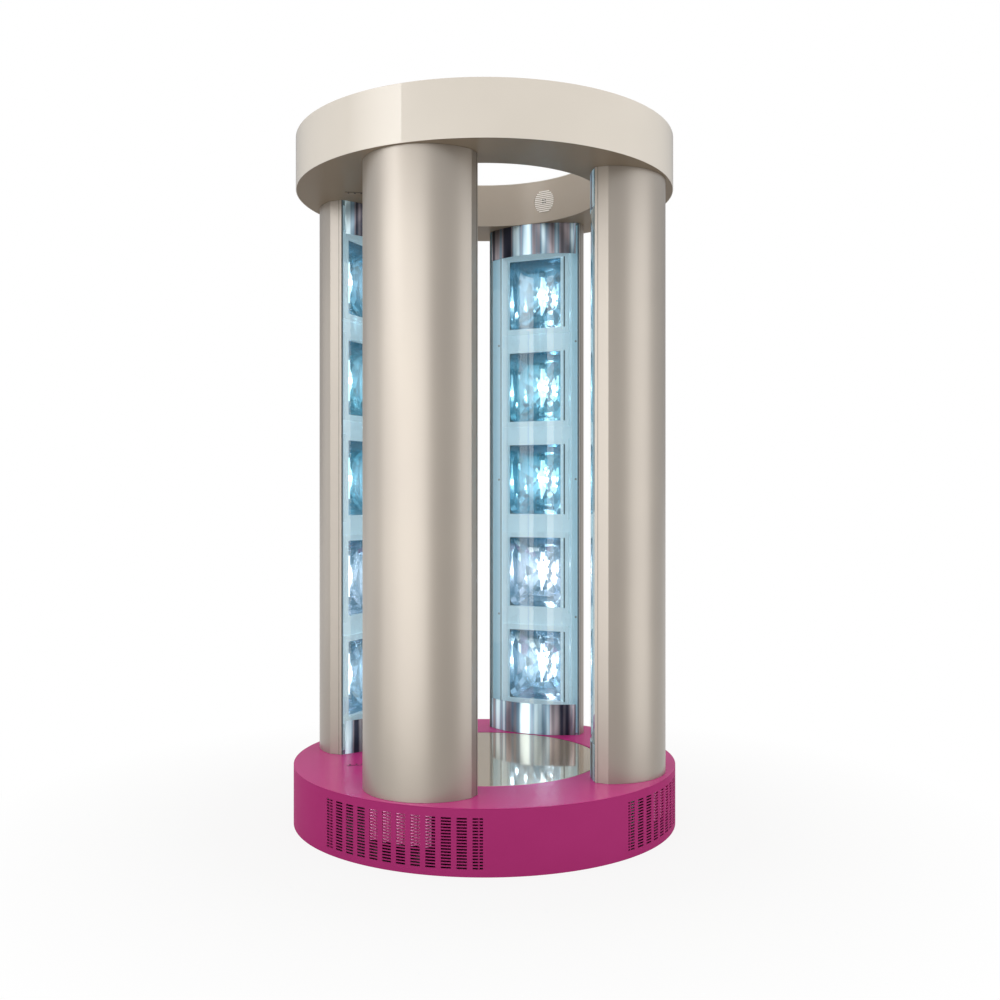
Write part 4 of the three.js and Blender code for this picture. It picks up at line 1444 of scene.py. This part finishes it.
@dataclass(frozen=True)
class Lamp:
    """The arc lamps of a column, each with its filter pane, reflector and holders."""

    column: Column  # the column that they stand in
    pane: Point = (65.3 * MM, 69.3 * MM)  # front and back of the filter pane
    pane_lap: float = 8 * MM  # how far the pane reaches behind the opening's edges
    mouth: Point = (118 * MM, 138 * MM)  # half the width and half the height of the reflector's mouth
    mouth_depth: float = 69.8 * MM  # depth of the mouth
    dish: float = 82 * MM  # how much deeper the reflector's middle lies
    dish_bend: float = 0.8  # how the depth grows; below 1 it grows fastest at the mouth
    closing: float = 0.88  # share of the mouth's size that is lost towards the middle
    closing_bend: float = 1.3  # how the size shrinks; above 1 it shrinks fastest at the middle
    roundness: Point = (0.25, 0.75)  # roundness of the mouth and of the middle; 1 is an oval, less is squarer
    facets: int = 22  # facets round the reflector
    tiers: int = 8  # rings of facets from the mouth to the middle
    shake: float = 7 * MM  # how far hammering moves the facets' corners
    seed: int = 7  # start of the random hammering
    foil: float = 0.8 * MM  # thickness of the reflector
    foil_crease: float = 3.0  # angle in degrees above which its edges stay sharp
    axis: float = 114.6 * MM  # depth of the tube
    # Radius and height of the points along the tube's lower half
    tube: tuple[Point, ...] = ((0.0, -76 * MM), (3 * MM, -76 * MM), (5 * MM, -40 * MM), (12 * MM, -24 * MM))
    tube_sides: int = 24  # sides of the tube
    holder: Triple = (14 * MM, 16 * MM, 16 * MM)  # size of a holder
    holder_offset: float = 84 * MM  # holders above and below the lamp's middle
    stem: Triple = (32 * MM, 6 * MM, 6 * MM)  # size of a holder's stem

    def build(self) -> None:
        """Builds the filter panes, hammered reflectors, tubes and holders."""
        front, back = self.pane
        across, tall = (side / 2 + self.pane_lap for side in PLAN.opening)
        pane = Shape.block((front, -across, -tall), (back, across, tall))
        self.column.repeat("filter_glasses", pane, FILTER, "filter_panes")
        self.column.repeat(
            "reflectors", self.reflector(), MIRROR, "reflector_bank", sheet=self.foil, crease=self.foil_crease
        )
        outline = [*self.tube, *((radius, -height) for radius, height in reversed(self.tube))]
        tube = Shape.turned(outline, self.tube_sides).moved(Matrix.Translation((self.axis, 0, 0)))
        self.column.repeat("lamp_tubes", tube, QUARTZ, "lamp_bank")
        self.column.repeat("lamp_holders", self.holders(), CERAMIC)

    def reflector(self) -> Shape:
        """Makes the hammered bowl, whose mouth and middle keep their places.

        Returns:
            The bowl, without thickness.
        """
        chance = random.Random(self.seed)
        square, oval = self.roundness
        tiers: list[list[Vector]] = []
        for i in range(self.tiers):
            share = i / (self.tiers - 1)
            depth = self.mouth_depth + self.dish * share**self.dish_bend
            narrow = 1 - self.closing * share**self.closing_bend
            shake = self.shake if 0 < i < self.tiers - 1 else 0.0
            size = self.mouth[0] * narrow, self.mouth[1] * narrow
            tiers.append(self.facet_ring(chance, depth, size, square + (oval - square) * share, shake))
        return Shape.bowl(tiers)

    def facet_ring(
        self, chance: random.Random, depth: float, size: Point, roundness: float, shake: float
    ) -> list[Vector]:
        """Lists one ring of the reflector's hammered facets.

        Args:
            chance: Source of the uneven hammering.
            depth: How deep the ring lies.
            size: Half its width and half its height.
            roundness: 1 for an oval, less for a square with round corners.
            shake: How far its corners stray.

        Returns:
            The ring's corners.
        """
        ring: list[Vector] = []
        for i in range(self.facets):
            turn = 2 * math.pi * (i + 0.5) / self.facets
            ways = (math.cos(turn), math.sin(turn))
            across, up = (math.copysign(abs(way) ** roundness, way) for way in ways)
            spot = Vector((depth, size[0] * across, size[1] * up))
            stray = Vector([chance.uniform(-shake, shake) for _ in range(3)])
            ring.append(spot + stray)
        return ring

    def holders(self) -> Shape:
        """Makes the two holders, each with the stem that carries it.

        Returns:
            Both holders.
        """
        holder, stem = Vector(self.holder), Vector(self.stem)
        blocks: list[Shape] = []
        for side in (-1, 1):
            middle = Vector((self.axis, 0, side * self.holder_offset))
            blocks.append(Shape.block(middle - holder / 2, middle + holder / 2))
            middle.x += (holder.x + stem.x) / 2
            blocks.append(Shape.block(middle - stem / 2, middle + stem / 2))
        return Shape.together(blocks)


@dataclass(frozen=True)
class Fan:
    """A fan behind a vent field, with the fluted air guide before it."""

    name: str  # which column it cools
    bearing: float  # where it stands
    flutes: int = 5  # flutes of the guide, each as wide as a column of slots
    flute: float = 8 * MM  # depth of a flute
    flute_steps: int = 10  # straight steps across a flute
    clearance: float = 1 * MM  # space between the guide's crests and the skirt
    back: float = 643 * MM  # back of the guide, from the booth's axis
    back_steps: int = 24  # straight steps along the back
    ends: Point = (79 * MM, 173 * MM)  # bottom and top of the guide
    crease: float = 50.0  # angle in degrees above which the guide's edges stay sharp

    def build(self) -> None:
        """Dresses the fan and builds the guide that shows through the slots."""
        dress(f"{self.name}_fan_frame", PLASTIC)
        dress(f"{self.name}_fan_rotor", PLASTIC)
        crest = PLAN.base_radius - PLAN.sheet - self.clearance
        reach = math.pi * self.flutes / Base.vent_columns
        steps = self.flutes * self.flute_steps
        outline: list[Point] = []
        for i in range(steps + 1):
            turn = reach * (2 * i / steps - 1)
            rise = 2 * (i % self.flute_steps) / self.flute_steps - 1
            radius = crest - self.flute * rise**2
            outline.append((radius * math.cos(turn), radius * math.sin(turn)))
        outline += arc((0, 0), self.back, reach, -reach, self.back_steps)
        guide = Shape.raised(outline, *self.ends).moved(facing(self.bearing))
        guide.show(f"{self.name}_air_guide", LACQUER, crease=self.crease)


@dataclass(frozen=True)
class Canopy:
    """The cream ring on top: fascia, soffit, inner wall, lid and its outlets."""

    port: Point = (80 * MM, 200 * MM)  # depth and width of an air outlet in the lid
    port_offset: float = 125 * MM  # middle of an outlet, outwards of a column's axis
    port_cut: Point = (2200 * MM, 2400 * MM)  # bottom and top of the block that cuts an outlet
    bars: int = 19  # bars of the guard in an outlet
    bar: Point = (2 * MM, 2 * MM)  # width and height of a bar
    edge: float = 1.0 * MM  # rounding of the rolled edges
    edge_steps: int = 2  # straight steps in each rounding

    def build(self) -> None:
        """Builds the ring."""
        bottom, top, lid = PLAN.canopy_bottom, PLAN.canopy_top, PLAN.lid_top
        inner, outer, sheet, gap = PLAN.well_radius, PLAN.canopy_radius, PLAN.sheet, PLAN.gap
        speaker = Speaker()
        self.ring("fascia", CREAM, (outer - sheet, bottom), (outer, top))
        self.ring("soffit", SHADED_CHAMPAGNE, (inner + sheet + gap, bottom), (outer - sheet - gap, bottom + sheet))
        self.ring("inner_wall", TAUPE, (inner, bottom), (inner + sheet, lid - sheet - gap), speaker.hole())
        self.ring("lid", CREAM, (inner, lid - sheet), (outer - sheet - gap, lid), self.ports())
        self.build_guards()
        speaker.build()
        dress("supply_gland", PLASTIC)

    def ring(self, name: str, finish: Finish, low: Point, high: Point, cutter: Shape | None = None) -> None:
        """Builds one rolled ring between two radii and heights, less what is cut out of it."""
        section = rounded(oblong(low, high), self.edge, self.edge_steps)
        Shape.turned(section).show(f"canopy_{name}_sheet", finish, f"canopy_{name}", cutter=cutter)

    def ports(self) -> Shape:
        """Makes the blocks that cut the lid's outlets.

        Returns:
            All four blocks.
        """
        depth, width = self.port
        low, high = self.port_cut
        middle = PLAN.column_radius + self.port_offset
        block = Shape.block((middle - depth / 2, -width / 2, low), (middle + depth / 2, width / 2, high))
        return Shape.together([block.moved(facing(bearing)) for bearing in COLUMN_BEARINGS.values()])

    def build_guards(self) -> None:
        """Builds a guard of thin bars in each outlet."""
        depth, width = self.port
        thick, high = self.bar
        middle = PLAN.column_radius + self.port_offset
        reach, step = depth / 2 - PLAN.gap, width / (self.bars + 1)
        bar = Shape.block((middle - reach, -thick / 2, -high), (middle + reach, thick / 2, 0))
        for name, bearing in COLUMN_BEARINGS.items():
            Stack.shared().run(
                f"{name}_outlet_guard", PLASTIC, template=bar, count=self.bars, place=facing(bearing),
                first=(0, step - width / 2, PLAN.lid_top - PLAN.gap), step=(0, step, 0),
            )


@dataclass(frozen=True)
class Speaker:
    """The loudspeaker in the canopy's inner wall."""

    bearing: float = 125.0  # where it faces the middle from
    radius: float = 44 * MM  # radius of its grille
    sides: int = 64  # sides of its round pieces
    front: float = 401.4 * MM  # front of the grille, from the booth's axis
    plate: Point = (1.5 * MM, 3 * MM)  # front and back of its plate, behind the grille's front
    height: float = 2228.1 * MM  # middle of the grille
    cut: Point = (300 * MM, 450 * MM)  # ends of the rod that cuts its hole, from the booth's axis
    slats: int = 11  # number of louvres
    slat: float = 3.6 * MM  # height of a louvre
    pitch: float = 7.4 * MM  # distance between louvres
    rim: float = 2.2 * MM  # plate outside the louvres
    sink: float = 0.2 * MM  # how far the louvres reach into the plate
    dot: float = 2.2 * MM  # half the size of a black face that stands for a small hole
    dot_reach: float = 5 * MM  # holes above and below, left and right of the middle
    dot_rise: float = 0.3 * MM  # how far the holes' dark faces stand before the louvres

    @property
    def place(self) -> Matrix:
        """Returns the matrix from the speaker's frame to the booth's."""
        return facing(self.bearing, 0.0, self.height)

    def hole(self) -> Shape:
        """Makes the rod that cuts the grille's hole."""
        rod = oblong((0.0, self.cut[0]), (self.radius + PLAN.gap, self.cut[1]))
        return Shape.turned(rod, self.sides).moved(LYING).moved(self.place)

    def build(self) -> None:
        """Builds the grille: a plate with pale louvres and, in its middle, four black faces painted as the
        shade of small holes.
        """
        front, back = (self.front + depth for depth in self.plate)
        plate = Shape.turned(oblong((0.0, front), (self.radius, back)), self.sides).moved(LYING)
        plate.moved(self.place).show("speaker_plate", TAUPE, "speaker_grille")
        inner, half = self.radius - self.rim, self.slat / 2
        slat = Shape.block((self.front, -inner, -half), (front + self.sink, inner, half))
        RoundLouvres.shared().run(
            "speaker_louvres", LOUVRE_WHITE, slat=slat, count=self.slats, radius=self.radius,
            pitch=self.pitch, place=self.place,
        )
        dot, reach, near = self.dot, self.dot_reach, self.front - self.dot_rise
        pair = [Shape.block((near, side - dot, -dot), (front, side + dot, dot)) for side in (-reach, reach)]
        Stack.shared().run(
            "speaker_holes", RUBBER, template=Shape.together(pair), count=2, first=(0, 0, -reach),
            step=(0, 0, 2 * reach), place=self.place,
        )
        dress("speaker_driver", PLASTIC)


@dataclass(frozen=True)
class Panel:
    """A soft panel that faces the booth and shows only in its gloss."""

    name: str  # its name
    azimuth: float  # degrees to the right of the camera
    distance: float  # distance from the booth's axis
    height: float  # height of its middle
    size: Point  # its width and height
    radiance: float  # how bright its face is
    fade: bool = False  # whether it fades out towards its left side, as the booth sees it
    colour: Triple = (1.0, 0.98, 0.95)  # colour of its light

    def build(self, place: Vector) -> None:
        """Builds the panel.

        Args:
            place: Where it stands.
        """
        data = bpy.data.lights.new(self.name, "AREA")
        data.shape = "RECTANGLE"
        data.size, data.size_y = self.size
        data.energy = self.radiance * math.pi * self.size[0] * self.size[1]
        data.color = self.colour
        if self.fade:
            data.use_nodes = True
            tree = data.node_tree
            spot = add_node(tree, "ShaderNodeNewGeometry").outputs["Parametric"]
            across = add_node(tree, "ShaderNodeSeparateXYZ", {"Vector": spot}).outputs["X"]
            tree.links.new(across, tree.nodes["Emission"].inputs["Strength"])
        lamp = bpy.data.objects.new(self.name, data)
        bpy.context.scene.collection.objects.link(lamp)
        lamp.location = place
        lamp.visible_camera = lamp.visible_diffuse = lamp.visible_transmission = False
        aim = Vector((0, 0, place.z)) - place
        lamp.rotation_euler = aim.to_track_quat("-Z", "Y").to_euler()


# Panels that put highlights on the shells, on the jambs and on the fascia
PANELS = (
    Panel("left panel", -24.5, 2.04, 1.26, (1.75, 2.48), 3.1),
    Panel("left wing", -61.1, 2.44, 1.26, (0.9, 2.48), 2.2),
    Panel("right panel", 60, 1.7, 1.22, (0.95, 2.4), 2.2),
    Panel("rim panel", -104, 4.2, 1.3, (2.6, 2.8), 0.7),
    Panel("fascia panel", -62.8, 4.5, 3.7, (2.85, 2.4), 4.8, fade=True),
)


@dataclass(frozen=True)
class Studio:
    """Camera, floor and lights."""

    bearing: float = -20.8  # where the camera stands
    distance: float = 3.877  # camera from the booth's axis
    eye: float = 1.099  # height of the camera
    lens: float = 39.95  # focal length in millimetres
    sensor: float = 36.0  # width of the sensor in millimetres
    shift: Point = (0.0155, -0.0011)  # sideways and upward shift of the lens
    clip: Point = (0.05, 200.0)  # nearest and farthest distance that the camera sees
    floor_half: float = 90.0  # half the floor's width
    floor_height: float = -0.4 * MM  # height of the floor, just under the booth
    floor_colour: Colour = (0.5, 0.49, 0.48, 1)  # colour of the floor where it takes light and shadow
    floor_fade: Point = (0.9, 1.8)  # distances from the booth between which the floor turns plain white
    floor_white: float = 0.88  # how white it is beside the booth
    floor_gloss: float = 0.5  # how much less white it is in the booth's gloss
    sky: Colour = (1.0, 0.985, 0.965, 1)  # colour of the light from all round
    sky_strength: float = 1.25  # strength of that light
    # Where the surroundings dim in the booth's gloss, from 0 at its sides to 1 behind it
    behind: Point = (0.1, 0.8)
    behind_loss: float = 0.6  # how much they dim

    def build(self) -> None:
        """Builds the studio."""
        self.build_camera()
        self.build_floor()
        self.build_world()
        for panel in PANELS:
            panel.build(self.around(panel.azimuth, panel.distance, panel.height))
        bpy.context.scene.view_settings.view_transform = "Standard"

    def around(self, azimuth: float, distance: float, height: float) -> Vector:
        """Finds a place at an angle to the right of the camera, a distance from the axis and a height."""
        turn = math.radians(self.bearing + azimuth)
        return Vector((distance * math.sin(turn), -distance * math.cos(turn), height))

    def build_camera(self) -> None:
        """Builds the camera, level and looking at the booth's axis."""
        data = bpy.data.cameras.new("camera")
        data.lens = self.lens
        data.sensor_width = self.sensor
        data.shift_x, data.shift_y = self.shift
        data.clip_start, data.clip_end = self.clip
        camera = bpy.data.objects.new("camera", data)
        bpy.context.scene.collection.objects.link(camera)
        camera.location = self.around(0, self.distance, self.eye)
        camera.rotation_euler = (math.radians(90), 0, math.radians(self.bearing))
        bpy.context.scene.camera = camera

    def seen(self, tree: Tree) -> Socket:
        """Tells rays that show the background from rays that light the booth.

        Args:
            tree: The tree that gets the nodes.

        Returns:
            1 for camera, glossy and transmission rays and 0 for others.
        """
        path = add_node(tree, "ShaderNodeLightPath").outputs
        shown = path["Is Camera Ray"]
        for kind in ("Is Glossy Ray", "Is Transmission Ray"):
            pair = {0: shown, 1: path[kind]}
            shown = add_node(tree, "ShaderNodeMath", pair, operation="MAXIMUM").outputs[0]
        return shown

    def build_floor(self) -> None:
        """Builds a white floor that keeps a soft shadow."""
        corners = oblong((-self.floor_half, -self.floor_half), (self.floor_half, self.floor_half))
        mesh = bpy.data.meshes.new("floor")
        mesh.from_pydata([(x, y, self.floor_height) for x, y in corners], [], [(0, 1, 2, 3)])
        floor = bpy.data.objects.new("floor", mesh)
        bpy.context.scene.collection.objects.link(floor)
        material = bpy.data.materials.new("studio floor")
        material.use_nodes = True
        tree = material.node_tree
        tree.nodes.clear()
        shade = add_node(tree, "ShaderNodeBsdfDiffuse", {"Color": self.floor_colour})
        white = add_node(tree, "ShaderNodeEmission", {"Color": (1, 1, 1, 1), "Strength": 1.0})
        place = add_node(tree, "ShaderNodeTexCoord").outputs["Object"]
        away = add_node(tree, "ShaderNodeVectorMath", {0: place}, operation="LENGTH").outputs["Value"]
        near, far = self.floor_fade
        fade = {"Value": away, "From Min": near, "From Max": far, "To Min": self.floor_white, "To Max": 1.0}
        bright = add_node(tree, "ShaderNodeMapRange", fade).outputs["Result"]
        gloss = add_node(tree, "ShaderNodeLightPath").outputs["Is Glossy Ray"]
        part = {0: gloss, 1: -self.floor_gloss, 2: self.seen(tree)}
        plain = add_node(tree, "ShaderNodeMath", part, operation="MULTIPLY_ADD").outputs[0]
        share = add_node(tree, "ShaderNodeMath", {0: plain, 1: bright}, operation="MULTIPLY").outputs[0]
        mix = {0: share, 1: shade.outputs["BSDF"], 2: white.outputs["Emission"]}
        surface = add_node(tree, "ShaderNodeMixShader", mix).outputs["Shader"]
        add_node(tree, "ShaderNodeOutputMaterial", {"Surface": surface})
        mesh.materials.append(material)

    def build_world(self) -> None:
        """Builds the white surroundings, dimmer behind the booth than before it in the booth's gloss."""
        world = bpy.data.worlds.new("studio")
        bpy.context.scene.world = world
        world.use_nodes = True
        tree = world.node_tree
        tree.nodes.clear()
        light = add_node(tree, "ShaderNodeBackground", {"Color": self.sky, "Strength": self.sky_strength})
        look = add_node(tree, "ShaderNodeTexCoord").outputs["Generated"]
        ways = {0: look, 1: -self.around(0, 1, 0)}
        back = add_node(tree, "ShaderNodeVectorMath", ways, operation="DOT_PRODUCT").outputs["Value"]
        near, far = self.behind
        fade = {"Value": back, "From Min": near, "From Max": far, "To Min": 0.0, "To Max": -self.behind_loss}
        loss = add_node(tree, "ShaderNodeMapRange", fade).outputs["Result"]
        gloss = add_node(tree, "ShaderNodeLightPath").outputs["Is Glossy Ray"]
        part = {0: gloss, 1: loss, 2: 1.0}
        level = add_node(tree, "ShaderNodeMath", part, operation="MULTIPLY_ADD").outputs[0]
        white = add_node(tree, "ShaderNodeBackground", {"Color": (1, 1, 1, 1), "Strength": level})
        mix = {0: self.seen(tree), 1: light.outputs["Background"], 2: white.outputs["Background"]}
        surface = add_node(tree, "ShaderNodeMixShader", mix).outputs["Shader"]
        add_node(tree, "ShaderNodeOutputWorld", {"Surface": surface})


def main() -> None:
    """Builds the studio and the booth, and notes each part as it is built."""
    logging.basicConfig(level=logging.INFO, format="%(message)s")
    Studio().build()
    builders: list[tuple[str, Callable[[], None]]] = [("base", Base().build), ("platform", Platform().build)]
    for name, bearing in COLUMN_BEARINGS.items():
        builders.append((f"{name} column", Column(name, bearing).build))
        builders.append((f"{name} fan", Fan(name, bearing).build))
    builders.append(("canopy", Canopy().build))
    for label, build in builders:
        build()
        LOG.info("built the %s", label)


if __name__ == "__main__":
    main()
